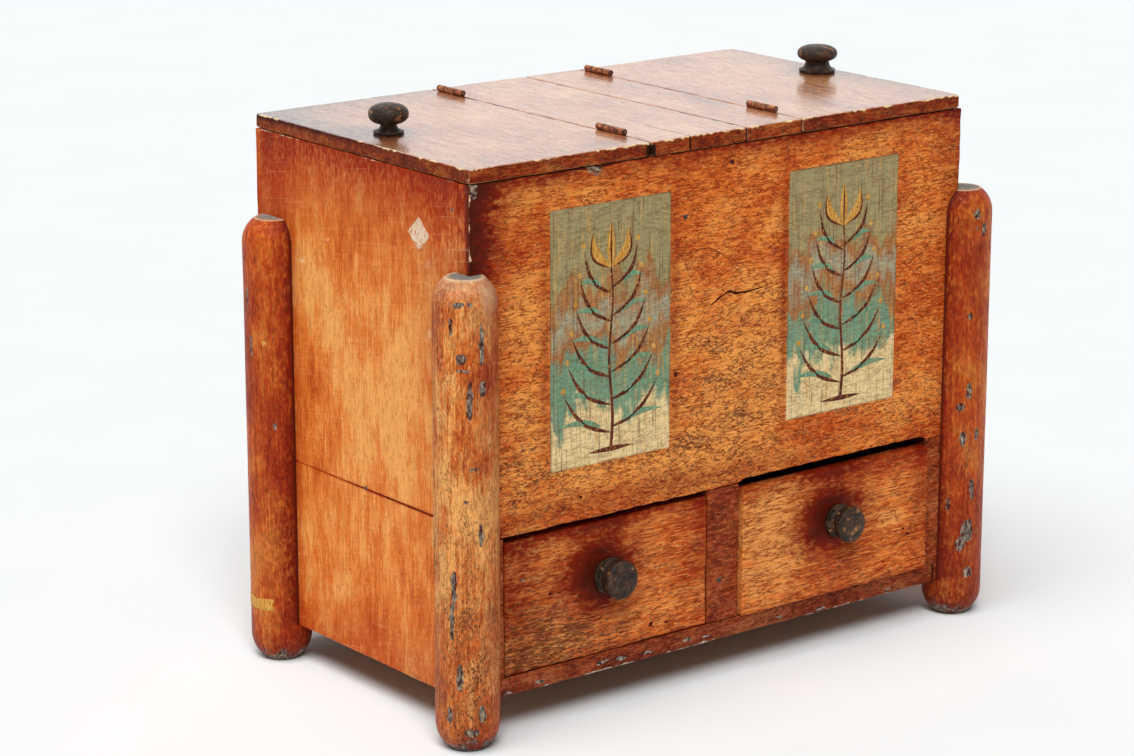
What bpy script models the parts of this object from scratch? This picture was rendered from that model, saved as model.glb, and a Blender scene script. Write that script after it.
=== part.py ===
"""Dry storage bin: a painted plank case held at its corners by four notched round posts.

The top has a fixed middle of two boards and a lid at each end, which swings up on butt hinges at
the middle. Two drawers slide under the two bins. Units are metres, +Z is up and the front faces -Y.
Places are given in the case's own frame, with the case's middle at x = y = 0 and the floor at z = 0.
"""
import math
from dataclasses import dataclass

import bmesh
import bpy
from mathutils import Matrix, Vector

# Clearances
SEAT = 0.0003                   # between faces that touch
PIN_PLAY = 0.0003               # around a hinge pin and a screw
LID_GAP = 0.0008                # under a closed lid
SEAM_GAP = 0.0010               # between a lid and the fixed middle of the top
DRAWER_SIDE_GAP = 0.0015        # between a drawer and the stile beside it
EASE = 0.0012                   # worn arris of every board

# Case
CASE_WIDTH = 0.746
CASE_DEPTH = 0.425
CASE_HEIGHT = 0.601             # case bottom to the upper edge of its walls
FOOT_HEIGHT = 0.048             # floor to case bottom
FRONT_THICKNESS = 0.022
SIDE_THICKNESS = 0.019
BACK_THICKNESS = 0.010
LOWER_BOARD_HEIGHT = 0.207      # seam between the boards of the sides and the back
FRONT_BOARD_RISE = 0.1895       # lower edge of the front board above the case bottom
RELIEF_RISE = 0.004             # planed off the front board over the right drawer
RELIEF_SLOPE = 0.004
RAIL_HEIGHT = 0.0225
END_STILE_WIDTH = 0.045
CENTRE_STILE_WIDTH = 0.0485
CENTRE_STILE_X = -0.002
CASE_BOTTOM_THICKNESS = 0.017
BIN_FLOOR_RISE = 0.197          # underside of the bin floor above the case bottom
BIN_FLOOR_THICKNESS = 0.012
CLEAT_SIZE = 0.018
DIVIDER_THICKNESS = 0.017
GUIDE_HEIGHT = 0.022

# Top
TOP_THICKNESS = 0.0173
LID_WIDTH = 0.2567
LID_END_SETBACK = 0.003         # right lid stops short of the case's end
TOP_JOINT_X = 0.0275            # joint between the two fixed boards
CHIP_HALF_WIDTH = 0.007         # corner broken off on both sides of the left seam
CHIP_HEIGHT = 0.014
CHIP_DEPTH = 0.012
CHIP_TIP_SHARE = 0.2            # chip's width at its upper and inner edges, as a share

# Posts
POST_RADIUS = 0.0373
POST_HEIGHT = 0.548
POST_TOP_FLAT_RADIUS = 0.0215
POST_TOP_DOME = 0.036
POST_FOOT_FLAT_RADIUS = 0.0195
POST_FOOT_DOME = 0.0385
FRONT_LEFT_POST_OUT = (0.0036, -0.0044)     # axis beyond the case's side and its front
FRONT_RIGHT_POST_OUT = (0.0154, -0.0091)
BACK_POST_OUT = (0.0013, -0.0357)           # axis beyond the case's side and its back

# Hinges
HINGE_LENGTH = 0.051
MIDDLE_KNUCKLE_LENGTH = 0.021
BARREL_RADIUS = 0.00375
BARREL_LIFT = 0.0003            # barrel above the boards
PIN_RADIUS = 0.0016
LEAF_WIDTH = 0.0135
LEAF_THICKNESS = 0.0015
LEAF_GAP = 0.0003               # between the two closed leaves
FRONT_HINGE_INSET = 0.0725      # hinge centre from the front edge
BACK_HINGE_INSET = 0.0415       # hinge centre from the back edge

# Drawers
RIGHT_DRAWER_PROUD = 0.007      # right drawer stands this far out
DRAWER_RISE = 0.0015            # front's lower edge above the rail
DRAWER_TOP_GAP = 0.0072         # front's upper edge below the front board
DRAWER_FRONT_THICKNESS = 0.019
DRAWER_SIDE_THICKNESS = 0.012
DRAWER_SIDE_DROP = 0.012        # sides below the front's upper edge
DRAWER_BOTTOM_THICKNESS = 0.006
DRAWER_BOTTOM_RISE = 0.008      # bottom panel above the sides' lower edge
DRAWER_REAR_GAP = 0.008         # shut drawer to the back board
RABBET_DEPTH = 0.009
GROOVE_DEPTH = 0.005
DRAWER_KNOB_RISE = 0.092        # knob axis above the front's lower edge

# Knobs and their screws
LEFT_LID_KNOB_INSET = 0.052     # knob axis from the lid's outer end
RIGHT_LID_KNOB_INSET = 0.0315
LID_KNOB_SETBACK = 0.012        # knob axis behind the lid's middle
SCREW_RADIUS = 0.0021
SCREW_BITE = 0.016              # screw's reach into its knob
SCREW_HEAD_RADIUS = 0.0045
SCREW_HEAD_HEIGHT = 0.0025
SCREW_CROWN_RADIUS = 0.0027

# Facets
POST_STEPS = 32
KNOB_STEPS = 24
SMALL_STEPS = 16
DOME_STEPS = 5
HEAD_STEPS = 10
COVE_STEPS = 4
OVERCUT = 0.002                 # cutter's reach past the face it opens
NEAR_ZERO = 0.00001


@dataclass(frozen=True)
class Finish:
    """Surface of one sub-part: sRGB colour, roughness and metallic value."""

    colour: str
    roughness: float
    metallic: float = 0.0


@dataclass(frozen=True)
class Knob:
    """Turned knob: a base disc, a cove up to the neck and a bun-shaped head."""

    height: float
    head_radius: float
    head_height: float
    neck_radius: float
    base_radius: float
    base_height: float
    squareness: float           # 2 gives an elliptical head, more a flatter one


FRONT_PAINT = Finish("#B8661F", 0.45)
SIDE_PAINT = Finish("#B9561E", 0.40)
POST_PAINT = Finish("#C07A2E", 0.45)
TOP_VARNISH = Finish("#8A4A2A", 0.28)
TRIM_PAINT = Finish("#7A2E16", 0.45)
BARE_WOOD = Finish("#A9805A", 0.70)
KNOB_PAINT = Finish("#2A211C", 0.40)
RUSTED_IRON = Finish("#8A5238", 0.60, 0.6)
STEEL = Finish("#8C8A86", 0.40, 1.0)

LEFT_LID_KNOB = Knob(0.0350, 0.0235, 0.0246, 0.0097, 0.0178, 0.0030, 2.4)
RIGHT_LID_KNOB = Knob(0.0341, 0.0253, 0.0212, 0.0150, 0.0227, 0.0036, 2.4)
LEFT_DRAWER_KNOB = Knob(0.0300, 0.0232, 0.0170, 0.0125, 0.0217, 0.0040, 4.5)
RIGHT_DRAWER_KNOB = Knob(0.0295, 0.0222, 0.0165, 0.0125, 0.0205, 0.0040, 4.5)

# Places worked out from the sizes above
HALF_WIDTH = CASE_WIDTH / 2
HALF_DEPTH = CASE_DEPTH / 2
CASE_TOP = FOOT_HEIGHT + CASE_HEIGHT
TOP_UNDERSIDE = CASE_TOP + SEAT
TOP_SURFACE = TOP_UNDERSIDE + TOP_THICKNESS
RAIL_TOP = FOOT_HEIGHT + RAIL_HEIGHT
FRONT_BOARD_BOTTOM = FOOT_HEIGHT + FRONT_BOARD_RISE
LEFT_SEAM = -HALF_WIDTH + LID_WIDTH
RIGHT_SEAM = HALF_WIDTH - LID_END_SETBACK - LID_WIDTH
HINGE_AXIS_HEIGHT = TOP_SURFACE + BARREL_LIFT + BARREL_RADIUS
BORE_RADIUS = PIN_RADIUS + PIN_PLAY
SCREW_HOLE_RADIUS = SCREW_RADIUS + PIN_PLAY
OPENING_OUTER_X = HALF_WIDTH - END_STILE_WIDTH
STILE_LEFT_X = CENTRE_STILE_X - CENTRE_STILE_WIDTH / 2
STILE_RIGHT_X = CENTRE_STILE_X + CENTRE_STILE_WIDTH / 2
INSIDE_X = HALF_WIDTH - SIDE_THICKNESS - SEAT
INSIDE_Y = (-HALF_DEPTH + FRONT_THICKNESS + SEAT, HALF_DEPTH - BACK_THICKNESS - SEAT)
POSTS = {
    "front_left_post": (-1, -1, FRONT_LEFT_POST_OUT),
    "front_right_post": (1, -1, FRONT_RIGHT_POST_OUT),
    "back_left_post": (-1, 1, BACK_POST_OUT),
    "back_right_post": (1, 1, BACK_POST_OUT),
}


def clear_scene():
    """Remove every object that the scene starts with."""
    for obj in list(bpy.data.objects):
        bpy.data.objects.remove(obj, do_unlink=True)


def new_collection(name):
    """Return a new collection linked to the scene."""
    collection = bpy.data.collections.new(name)
    bpy.context.scene.collection.children.link(collection)
    return collection


clear_scene()
PARTS = new_collection("dry_storage_bin")
CUTTERS = new_collection("cutters")


def linear(channel):
    """Return the linear value of one sRGB channel."""
    if channel <= 0.04045:
        return channel / 12.92
    return ((channel + 0.055) / 1.055) ** 2.4


def new_material(name, finish):
    """Return a Principled material with the finish's colour, roughness and metallic value."""
    material = bpy.data.materials.new(name)
    material.use_nodes = True
    shader = material.node_tree.nodes["Principled BSDF"]
    channels = [int(finish.colour[i:i + 2], 16) / 255 for i in (1, 3, 5)]
    shader.inputs["Base Color"].default_value = (*[linear(value) for value in channels], 1.0)
    shader.inputs["Roughness"].default_value = finish.roughness
    shader.inputs["Metallic"].default_value = finish.metallic
    return material


def new_empty(name, location, parent=None):
    """Return an empty at a place of the case's frame, under the frame's own empty."""
    empty = bpy.data.objects.new(name, None)
    empty.empty_display_size = POST_RADIUS
    empty.location = location
    empty.parent = parent
    PARTS.objects.link(empty)
    return empty


def frame_shift():
    """Return the move that puts the whole bin's middle over the origin."""
    reach = {"left": HALF_WIDTH, "right": HALF_WIDTH, "front": HALF_DEPTH, "back": HALF_DEPTH}
    for side_x, side_y, (out_x, out_y) in POSTS.values():
        across = "left" if side_x < 0 else "right"
        along = "front" if side_y < 0 else "back"
        reach[across] = max(reach[across], HALF_WIDTH + out_x + POST_RADIUS)
        reach[along] = max(reach[along], HALF_DEPTH + out_y + POST_RADIUS)
    left_knob = HALF_DEPTH + SEAT + LEFT_DRAWER_KNOB.height
    right_knob = HALF_DEPTH + RIGHT_DRAWER_PROUD + SEAT + RIGHT_DRAWER_KNOB.height
    front = max(reach["front"], left_knob, right_knob)
    return Vector(((reach["left"] - reach["right"]) / 2, (front - reach["back"]) / 2, 0.0))


FRAME = new_empty("bin_frame", frame_shift())


def place(obj, location, parent):
    """Put an object at a place of the case's frame, under a part's empty or under the frame."""
    carrier = parent or FRAME
    offset = parent.location if parent else Vector()
    obj.parent = carrier
    obj.location = Vector(location) - offset


def add_part(name, mesh, finish, location, parent=None):
    """Add a mesh as a named sub-part with its own material."""
    obj = bpy.data.objects.new(name, mesh)
    obj.data.materials.append(new_material(f"{name}_finish", finish))
    PARTS.objects.link(obj)
    place(obj, location, parent)
    return obj


def add_cutter(name, mesh, location):
    """Add a mesh that only shapes other pieces."""
    obj = bpy.data.objects.new(name, mesh)
    obj.hide_render = True
    obj.display_type = "WIRE"
    CUTTERS.objects.link(obj)
    place(obj, location, None)
    return obj


def mesh_from(name, build):
    """Return a mesh filled by a function that takes an empty bmesh."""
    bm = bmesh.new()
    build(bm)
    mesh = bpy.data.meshes.new(name)
    bm.to_mesh(mesh)
    bm.free()
    return mesh


def box_mesh(name, spans):
    """Return a box of the spans' sizes, around its own middle, and that middle."""
    size = [high - low for low, high in spans]
    middle = [(low + high) / 2 for low, high in spans]
    scale = Matrix.Diagonal((*size, 1.0))
    return mesh_from(name, lambda bm: bmesh.ops.create_cube(bm, size=1.0, matrix=scale)), middle


def rod_mesh(name, radius, length, axis):
    """Return a cylinder around its own middle along the Y or Z axis."""
    turn = Matrix.Rotation(math.pi / 2, 4, "X") if axis == "Y" else Matrix.Identity(4)

    def build(bm):
        bmesh.ops.create_cone(bm, cap_ends=True, segments=SMALL_STEPS, radius1=radius,
                              radius2=radius, depth=length, matrix=turn)

    return mesh_from(name, build)


def boolean(obj, other, operation="DIFFERENCE"):
    """Cut an object by another, or join the other to it."""
    modifier = obj.modifiers.new(other.name, "BOOLEAN")
    modifier.operation = operation
    modifier.solver = "EXACT"
    modifier.object = other


def board(name, x, y, z, finish, parent=None):
    """Add a plank between three spans, with eased arrises."""
    mesh, middle = box_mesh(name, (x, y, z))
    obj = add_part(name, mesh, finish, middle, parent)
    bevel = obj.modifiers.new("eased_arrises", "BEVEL")
    bevel.width = EASE
    bevel.segments = 1
    return obj


def box_cutter(name, x, y, z):
    """Add a box-shaped cutter between three spans."""
    mesh, middle = box_mesh(name, (x, y, z))
    return add_cutter(name, mesh, middle)


def turned(name, profile, steps, finish, location, parent=None):
    """Add a solid turned about Z from a profile that runs down its outer side."""
    mesh = bpy.data.meshes.new(name)
    edges = [(i, i + 1) for i in range(len(profile) - 1)]
    mesh.from_pydata([(radius, 0.0, height) for radius, height in profile], edges, [])
    obj = add_part(name, mesh, finish, location, parent)
    screw = obj.modifiers.new("turning", "SCREW")
    screw.axis = "Z"
    screw.steps = steps
    screw.render_steps = steps
    screw.use_merge_vertices = True
    screw.merge_threshold = NEAR_ZERO
    screw.use_smooth_shade = True
    return obj


def build_case():
    """Build the walls, rails, floors and guides of the case."""
    whole_x = (-HALF_WIDTH, HALF_WIDTH)
    inside_x = (-INSIDE_X, INSIDE_X)
    front_y = (-HALF_DEPTH, -HALF_DEPTH + FRONT_THICKNESS)
    back_y = (HALF_DEPTH - BACK_THICKNESS, HALF_DEPTH)
    seam = FOOT_HEIGHT + LOWER_BOARD_HEIGHT
    lower_z = (FOOT_HEIGHT, seam - SEAT / 2)
    upper_z = (seam + SEAT / 2, CASE_TOP)

    front = board("front_board", whole_x, front_y, (FRONT_BOARD_BOTTOM, CASE_TOP), FRONT_PAINT)
    boolean(front, drawer_relief())
    board("back_lower_board", whole_x, back_y, lower_z, BARE_WOOD)
    board("back_upper_board", whole_x, back_y, upper_z, BARE_WOOD)
    for side, name in ((-1, "left"), (1, "right")):
        wall_x = sorted((side * HALF_WIDTH, side * (HALF_WIDTH - SIDE_THICKNESS)))
        board(f"{name}_side_lower_board", wall_x, INSIDE_Y, lower_z, SIDE_PAINT)
        board(f"{name}_side_upper_board", wall_x, INSIDE_Y, upper_z, SIDE_PAINT)

    board("bottom_rail", whole_x, front_y, (FOOT_HEIGHT, RAIL_TOP), TRIM_PAINT)
    stile_z = (RAIL_TOP + SEAT, FRONT_BOARD_BOTTOM - SEAT)
    centre_x = (STILE_LEFT_X, STILE_RIGHT_X)
    board("left_stile", (-HALF_WIDTH, -OPENING_OUTER_X), front_y, stile_z, TRIM_PAINT)
    board("centre_stile", centre_x, front_y, stile_z, TRIM_PAINT)
    board("right_stile", (OPENING_OUTER_X, HALF_WIDTH), front_y, stile_z, TRIM_PAINT)

    board("case_bottom", inside_x, INSIDE_Y, (RAIL_TOP - CASE_BOTTOM_THICKNESS, RAIL_TOP), BARE_WOOD)
    guide_z = (RAIL_TOP + SEAT, RAIL_TOP + SEAT + GUIDE_HEIGHT)
    board("left_guide", (-INSIDE_X, -OPENING_OUTER_X), INSIDE_Y, guide_z, BARE_WOOD)
    board("centre_guide", centre_x, INSIDE_Y, guide_z, BARE_WOOD)
    board("right_guide", (OPENING_OUTER_X, INSIDE_X), INSIDE_Y, guide_z, BARE_WOOD)

    floor_z = FOOT_HEIGHT + BIN_FLOOR_RISE
    floor_top = floor_z + BIN_FLOOR_THICKNESS
    cleat_z = (floor_z - SEAT - CLEAT_SIZE, floor_z - SEAT)
    divider_x = (-DIVIDER_THICKNESS / 2, DIVIDER_THICKNESS / 2)
    board("left_floor_cleat", (-INSIDE_X, -INSIDE_X + CLEAT_SIZE), INSIDE_Y, cleat_z, BARE_WOOD)
    board("right_floor_cleat", (INSIDE_X - CLEAT_SIZE, INSIDE_X), INSIDE_Y, cleat_z, BARE_WOOD)
    board("bin_floor", inside_x, INSIDE_Y, (floor_z, floor_top), BARE_WOOD)
    board("bin_divider", divider_x, INSIDE_Y, (floor_top + SEAT, CASE_TOP), BARE_WOOD)


def drawer_relief():
    """Return the cutter of the slope-ended relief over the right drawer."""
    relief = box_cutter(
        "drawer_relief_cutter",
        (STILE_RIGHT_X, OPENING_OUTER_X),
        (-HALF_DEPTH - OVERCUT, -HALF_DEPTH + FRONT_THICKNESS + OVERCUT),
        (FRONT_BOARD_BOTTOM - RELIEF_RISE, FRONT_BOARD_BOTTOM + RELIEF_RISE))
    for vertex in relief.data.vertices:
        slope = RELIEF_SLOPE * math.copysign(1.0, vertex.co.z * vertex.co.x)
        vertex.co.x -= slope
    return relief


def post_profile():
    """Return the outer profile of a post: a pole with domed ends, each cut flat."""
    top = dome(POST_TOP_FLAT_RADIUS, POST_TOP_DOME)
    foot = dome(POST_FOOT_FLAT_RADIUS, POST_FOOT_DOME)
    spring = POST_HEIGHT - top[0][1]
    upper = [(radius, spring + height) for radius, height in top]
    lower = [(radius, foot[0][1] - height) for radius, height in reversed(foot)]
    return [(0.0, POST_HEIGHT), *upper, *lower, (0.0, 0.0)]


def dome(flat_radius, dome_height):
    """Return radius and height along a dome, from its flat end to its full radius."""
    start = math.asin(flat_radius / POST_RADIUS)
    turns = [start + (math.pi / 2 - start) * i / DOME_STEPS for i in range(DOME_STEPS + 1)]
    return [(POST_RADIUS * math.sin(turn), dome_height * math.cos(turn)) for turn in turns]


def build_posts():
    """Build the posts, each notched to seat a corner of the case on its shoulder."""
    notch = box_cutter(
        "post_notch_cutter",
        (-HALF_WIDTH - SEAT, HALF_WIDTH + SEAT),
        (-HALF_DEPTH - SEAT, HALF_DEPTH + SEAT),
        (FOOT_HEIGHT - SEAT, POST_HEIGHT + POST_RADIUS))
    for name, (side_x, side_y, (out_x, out_y)) in POSTS.items():
        axis = (side_x * (HALF_WIDTH + out_x), side_y * (HALF_DEPTH + out_y), 0.0)
        post = turned(name, post_profile(), POST_STEPS, POST_PAINT, axis)
        boolean(post, notch)


def hinge_places():
    """Return each hinge's name, its seam, the side its lid lies on and its place along the seam."""
    front_y = -HALF_DEPTH + FRONT_HINGE_INSET
    back_y = HALF_DEPTH - BACK_HINGE_INSET
    return [
        ("left_front_hinge", LEFT_SEAM, -1, front_y),
        ("left_back_hinge", LEFT_SEAM, -1, back_y),
        ("right_front_hinge", RIGHT_SEAM, 1, front_y),
        ("right_back_hinge", RIGHT_SEAM, 1, back_y),
    ]


def build_top(left_lid, right_lid):
    """Build the fixed boards of the top and the two lids, mortised for the hinges' leaves."""
    whole_y = (-HALF_DEPTH, HALF_DEPTH)
    top_z = (TOP_UNDERSIDE, TOP_SURFACE)
    lid_z = (CASE_TOP + LID_GAP, TOP_SURFACE)
    wide_x = (LEFT_SEAM + SEAM_GAP / 2, TOP_JOINT_X - SEAT / 2)
    narrow_x = (TOP_JOINT_X + SEAT / 2, RIGHT_SEAM - SEAM_GAP / 2)
    left_x = (-HALF_WIDTH, LEFT_SEAM - SEAM_GAP / 2)
    right_x = (RIGHT_SEAM + SEAM_GAP / 2, HALF_WIDTH - LID_END_SETBACK)
    wide = board("centre_top_wide_board", wide_x, whole_y, top_z, TOP_VARNISH)
    narrow = board("centre_top_narrow_board", narrow_x, whole_y, top_z, TOP_VARNISH)
    left = board("left_lid_board", left_x, whole_y, lid_z, TOP_VARNISH, left_lid)
    right = board("right_lid_board", right_x, whole_y, lid_z, TOP_VARNISH, right_lid)

    for name, seam, _, hinge_y in hinge_places():
        reach = LEAF_GAP / 2 + LEAF_THICKNESS + SEAT
        half = HINGE_LENGTH / 2 + SEAT
        mortise = box_cutter(
            f"{name}_mortise_cutter",
            (seam - reach, seam + reach),
            (hinge_y - half, hinge_y + half),
            (TOP_SURFACE - LEAF_WIDTH - SEAT, TOP_SURFACE + OVERCUT))
        fixed, moving = (wide, left) if seam == LEFT_SEAM else (narrow, right)
        boolean(fixed, mortise)
        boolean(moving, mortise)

    chip = box_cutter(
        "seam_chip_cutter",
        (LEFT_SEAM - CHIP_HALF_WIDTH, LEFT_SEAM + CHIP_HALF_WIDTH),
        (-HALF_DEPTH - CHIP_DEPTH, -HALF_DEPTH + CHIP_DEPTH),
        (TOP_UNDERSIDE - CHIP_HEIGHT, TOP_UNDERSIDE + CHIP_HEIGHT))
    for vertex in chip.data.vertices:
        if vertex.co.z > 0 or vertex.co.y > 0:
            vertex.co.x *= CHIP_TIP_SHARE
    boolean(wide, chip)
    boolean(left, chip)
    return left, right


def build_leaf(name, side, seam, hinge_y, knuckles, reliefs, bore, parent):
    """Build a hinge leaf: a plate in its mortise that carries knuckles bored for the pin."""
    inner = seam + side * LEAF_GAP / 2
    outer = inner + side * LEAF_THICKNESS
    neck_top = HINGE_AXIS_HEIGHT - (BORE_RADIUS + BARREL_RADIUS) / 2
    spans = (
        sorted((inner, outer)),
        (hinge_y - HINGE_LENGTH / 2, hinge_y + HINGE_LENGTH / 2),
        (TOP_SURFACE - LEAF_WIDTH, neck_top))
    mesh, middle = box_mesh(name, spans)
    leaf = add_part(name, mesh, RUSTED_IRON, middle, parent)
    for index, (low, high) in enumerate(reliefs):
        relief = box_cutter(
            f"{name}_relief_{index}_cutter",
            (seam - BARREL_RADIUS, seam + BARREL_RADIUS),
            (hinge_y + low, hinge_y + high),
            (TOP_SURFACE, HINGE_AXIS_HEIGHT))
        boolean(leaf, relief)
    for index, (low, high) in enumerate(knuckles):
        rod = rod_mesh(f"{name}_knuckle_{index}", BARREL_RADIUS, high - low, "Y")
        centre = (seam, hinge_y + (low + high) / 2, HINGE_AXIS_HEIGHT)
        boolean(leaf, add_cutter(f"{name}_knuckle_{index}", rod, centre), "UNION")
    boolean(leaf, bore)


def build_hinge(name, seam, lid_side, hinge_y, lid):
    """Build a butt hinge of three knuckles, with its barrel on top of the seam."""
    half = HINGE_LENGTH / 2
    middle = MIDDLE_KNUCKLE_LENGTH / 2
    axis = (seam, hinge_y, HINGE_AXIS_HEIGHT)
    bore_mesh = rod_mesh(f"{name}_bore_cutter", BORE_RADIUS, HINGE_LENGTH + 2 * OVERCUT, "Y")
    bore = add_cutter(f"{name}_bore_cutter", bore_mesh, axis)
    outer_ends = [(-half, -middle - SEAT), (middle + SEAT, half)]
    outer_reliefs = [(-half - OVERCUT, -middle), (middle, half + OVERCUT)]
    middle_span = [(-middle, middle)]
    middle_relief = [(-middle - SEAT, middle + SEAT)]
    build_leaf(f"{name}_fixed_leaf", -lid_side, seam, hinge_y, outer_ends, middle_relief, bore, None)
    build_leaf(f"{name}_moving_leaf", lid_side, seam, hinge_y, middle_span, outer_reliefs, bore, lid)
    pin = rod_mesh(f"{name}_pin", PIN_RADIUS, HINGE_LENGTH, "Y")
    add_part(f"{name}_pin", pin, RUSTED_IRON, axis)


def knob_profile(knob):
    """Return a knob's profile: superellipse head, cove, base disc and a blind bore for its screw."""
    half_height = knob.head_height / 2
    centre = knob.height - half_height
    power = 2 / knob.squareness
    last = math.acos((knob.neck_radius / knob.head_radius) ** (1 / power))
    points = [(0.0, knob.height)]
    for step in range(1, HEAD_STEPS + 1):
        turn = math.pi / 2 - (math.pi / 2 + last) * step / HEAD_STEPS
        rise = math.copysign(abs(math.sin(turn)) ** power, turn)
        points.append((knob.head_radius * math.cos(turn) ** power, centre + half_height * rise))
    neck = points[-1][1]
    for step in range(1, COVE_STEPS + 1):
        turn = math.pi / 2 * step / COVE_STEPS
        radius = knob.neck_radius + (knob.base_radius - knob.neck_radius) * (1 - math.cos(turn))
        points.append((radius, knob.base_height + (neck - knob.base_height) * (1 - math.sin(turn))))
    bore_end = SCREW_BITE + SEAT
    bore = [(SCREW_HOLE_RADIUS, 0.0), (SCREW_HOLE_RADIUS, bore_end), (0.0, bore_end)]
    return [*points, (knob.base_radius, 0.0), *bore]


def screw_profile(wall):
    """Return the profile of a screw that goes through a wall and into a knob standing on it."""
    tip = wall + SEAT + SCREW_BITE
    return [
        (0.0, tip),
        (SCREW_RADIUS, tip),
        (SCREW_RADIUS, -SEAT),
        (SCREW_HEAD_RADIUS, -SEAT),
        (SCREW_HEAD_RADIUS, -SEAT - SCREW_HEAD_HEIGHT / 2),
        (SCREW_CROWN_RADIUS, -SEAT - SCREW_HEAD_HEIGHT),
        (0.0, -SEAT - SCREW_HEAD_HEIGHT),
    ]


def add_knob(name, knob, carrier, wall, face, forward, parent):
    """Add a knob on a face, with its screw, facing up or forward, and drill the wall behind it."""
    knob_part = turned(name, knob_profile(knob), KNOB_STEPS, KNOB_PAINT, face, parent)
    screw = turned(f"{name}_screw", screw_profile(wall), SMALL_STEPS, STEEL, face, parent)
    axis = "Y" if forward else "Z"
    out = Vector((0.0, -1.0, 0.0)) if forward else Vector((0.0, 0.0, 1.0))
    knob_part.location += out * SEAT
    screw.location -= out * wall
    if forward:
        knob_part.rotation_euler.x = math.pi / 2
        screw.rotation_euler.x = math.pi / 2
    drill = rod_mesh(f"{name}_hole_cutter", SCREW_HOLE_RADIUS, wall + 2 * OVERCUT, axis)
    boolean(carrier, add_cutter(f"{name}_hole_cutter", drill, Vector(face) - out * wall / 2))


def build_drawer(name, x_low, x_high, proud, knob):
    """Build a drawer: rabbeted front, grooved sides, back, bottom panel and knob."""
    face = -HALF_DEPTH - proud
    front_back = face + DRAWER_FRONT_THICKNESS
    rear = HALF_DEPTH - BACK_THICKNESS - DRAWER_REAR_GAP - proud
    run = RAIL_TOP + SEAT
    front_low = RAIL_TOP + DRAWER_RISE
    front_high = FRONT_BOARD_BOTTOM - DRAWER_TOP_GAP
    side_top = front_high - DRAWER_SIDE_DROP
    panel_low = run + DRAWER_BOTTOM_RISE
    panel_high = panel_low + DRAWER_BOTTOM_THICKNESS
    inner_low = x_low + DRAWER_SIDE_THICKNESS
    inner_high = x_high - DRAWER_SIDE_THICKNESS
    middle = (x_low + x_high) / 2
    origin = new_empty(f"{name}_slide", Vector((middle, face, run)), FRAME)

    groove = box_cutter(
        f"{name}_groove_cutter",
        (inner_low - GROOVE_DEPTH, inner_high + GROOVE_DEPTH),
        (front_back - GROOVE_DEPTH, rear + OVERCUT),
        (panel_low - SEAT, panel_high + SEAT))
    front_y = (face, front_back)
    front = board(f"{name}_front", (x_low, x_high), front_y, (front_low, front_high), FRONT_PAINT, origin)
    rabbet_y = (front_back - RABBET_DEPTH, front_back + OVERCUT)
    rabbet_z = (front_low - OVERCUT, front_high + OVERCUT)
    for end, edge, inner in (("left", x_low - OVERCUT, inner_low + SEAT),
                             ("right", x_high + OVERCUT, inner_high - SEAT)):
        rabbet_x = sorted((edge, inner))
        boolean(front, box_cutter(f"{name}_{end}_rabbet_cutter", rabbet_x, rabbet_y, rabbet_z))
    boolean(front, groove)

    side_y = (front_back - RABBET_DEPTH + SEAT, rear)
    side_z = (run, side_top)
    left = board(f"{name}_left_side", (x_low, inner_low), side_y, side_z, BARE_WOOD, origin)
    right = board(f"{name}_right_side", (inner_high, x_high), side_y, side_z, BARE_WOOD, origin)
    boolean(left, groove)
    boolean(right, groove)
    back_x = (inner_low + SEAT, inner_high - SEAT)
    back_y = (rear - DRAWER_SIDE_THICKNESS, rear)
    board(f"{name}_back", back_x, back_y, (panel_high + SEAT, side_top), BARE_WOOD, origin)
    panel_x = (inner_low - GROOVE_DEPTH + SEAT, inner_high + GROOVE_DEPTH - SEAT)
    panel_y = (front_back - GROOVE_DEPTH + SEAT, rear)
    board(f"{name}_bottom", panel_x, panel_y, (panel_low, panel_high), BARE_WOOD, origin)
    knob_place = (middle, face, front_low + DRAWER_KNOB_RISE)
    add_knob(f"{name}_knob", knob, front, DRAWER_FRONT_THICKNESS, knob_place, True, origin)


def main():
    """Build the bin."""
    build_case()
    build_posts()

    left_lid = new_empty("left_lid_axis", Vector((LEFT_SEAM, 0.0, HINGE_AXIS_HEIGHT)), FRAME)
    right_lid = new_empty("right_lid_axis", Vector((RIGHT_SEAM, 0.0, HINGE_AXIS_HEIGHT)), FRAME)
    left_board, right_board = build_top(left_lid, right_lid)
    for name, seam, lid_side, hinge_y in hinge_places():
        build_hinge(name, seam, lid_side, hinge_y, left_lid if lid_side < 0 else right_lid)

    lid_wall = TOP_SURFACE - CASE_TOP - LID_GAP
    left_place = (-HALF_WIDTH + LEFT_LID_KNOB_INSET, LID_KNOB_SETBACK, TOP_SURFACE)
    right_x = HALF_WIDTH - LID_END_SETBACK - RIGHT_LID_KNOB_INSET
    right_place = (right_x, LID_KNOB_SETBACK, TOP_SURFACE)
    add_knob("left_lid_knob", LEFT_LID_KNOB, left_board, lid_wall, left_place, False, left_lid)
    add_knob("right_lid_knob", RIGHT_LID_KNOB, right_board, lid_wall, right_place, False, right_lid)

    build_drawer(
        "left_drawer", -OPENING_OUTER_X + DRAWER_SIDE_GAP, STILE_LEFT_X - DRAWER_SIDE_GAP,
        0.0, LEFT_DRAWER_KNOB)
    build_drawer(
        "right_drawer", STILE_RIGHT_X + DRAWER_SIDE_GAP, OPENING_OUTER_X - DRAWER_SIDE_GAP,
        RIGHT_DRAWER_PROUD, RIGHT_DRAWER_KNOB)
    bpy.context.view_layer.update()


main()
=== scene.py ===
"""Dry storage bin, dressed: crackled paint on worn planks, notched posts, turned knobs, rusted hinges.

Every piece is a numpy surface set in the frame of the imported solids, in metres, with +Z up and the
front towards -Y. Planks are boxes whose arrises are worn round by a radius that wanders along them.
"""

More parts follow.
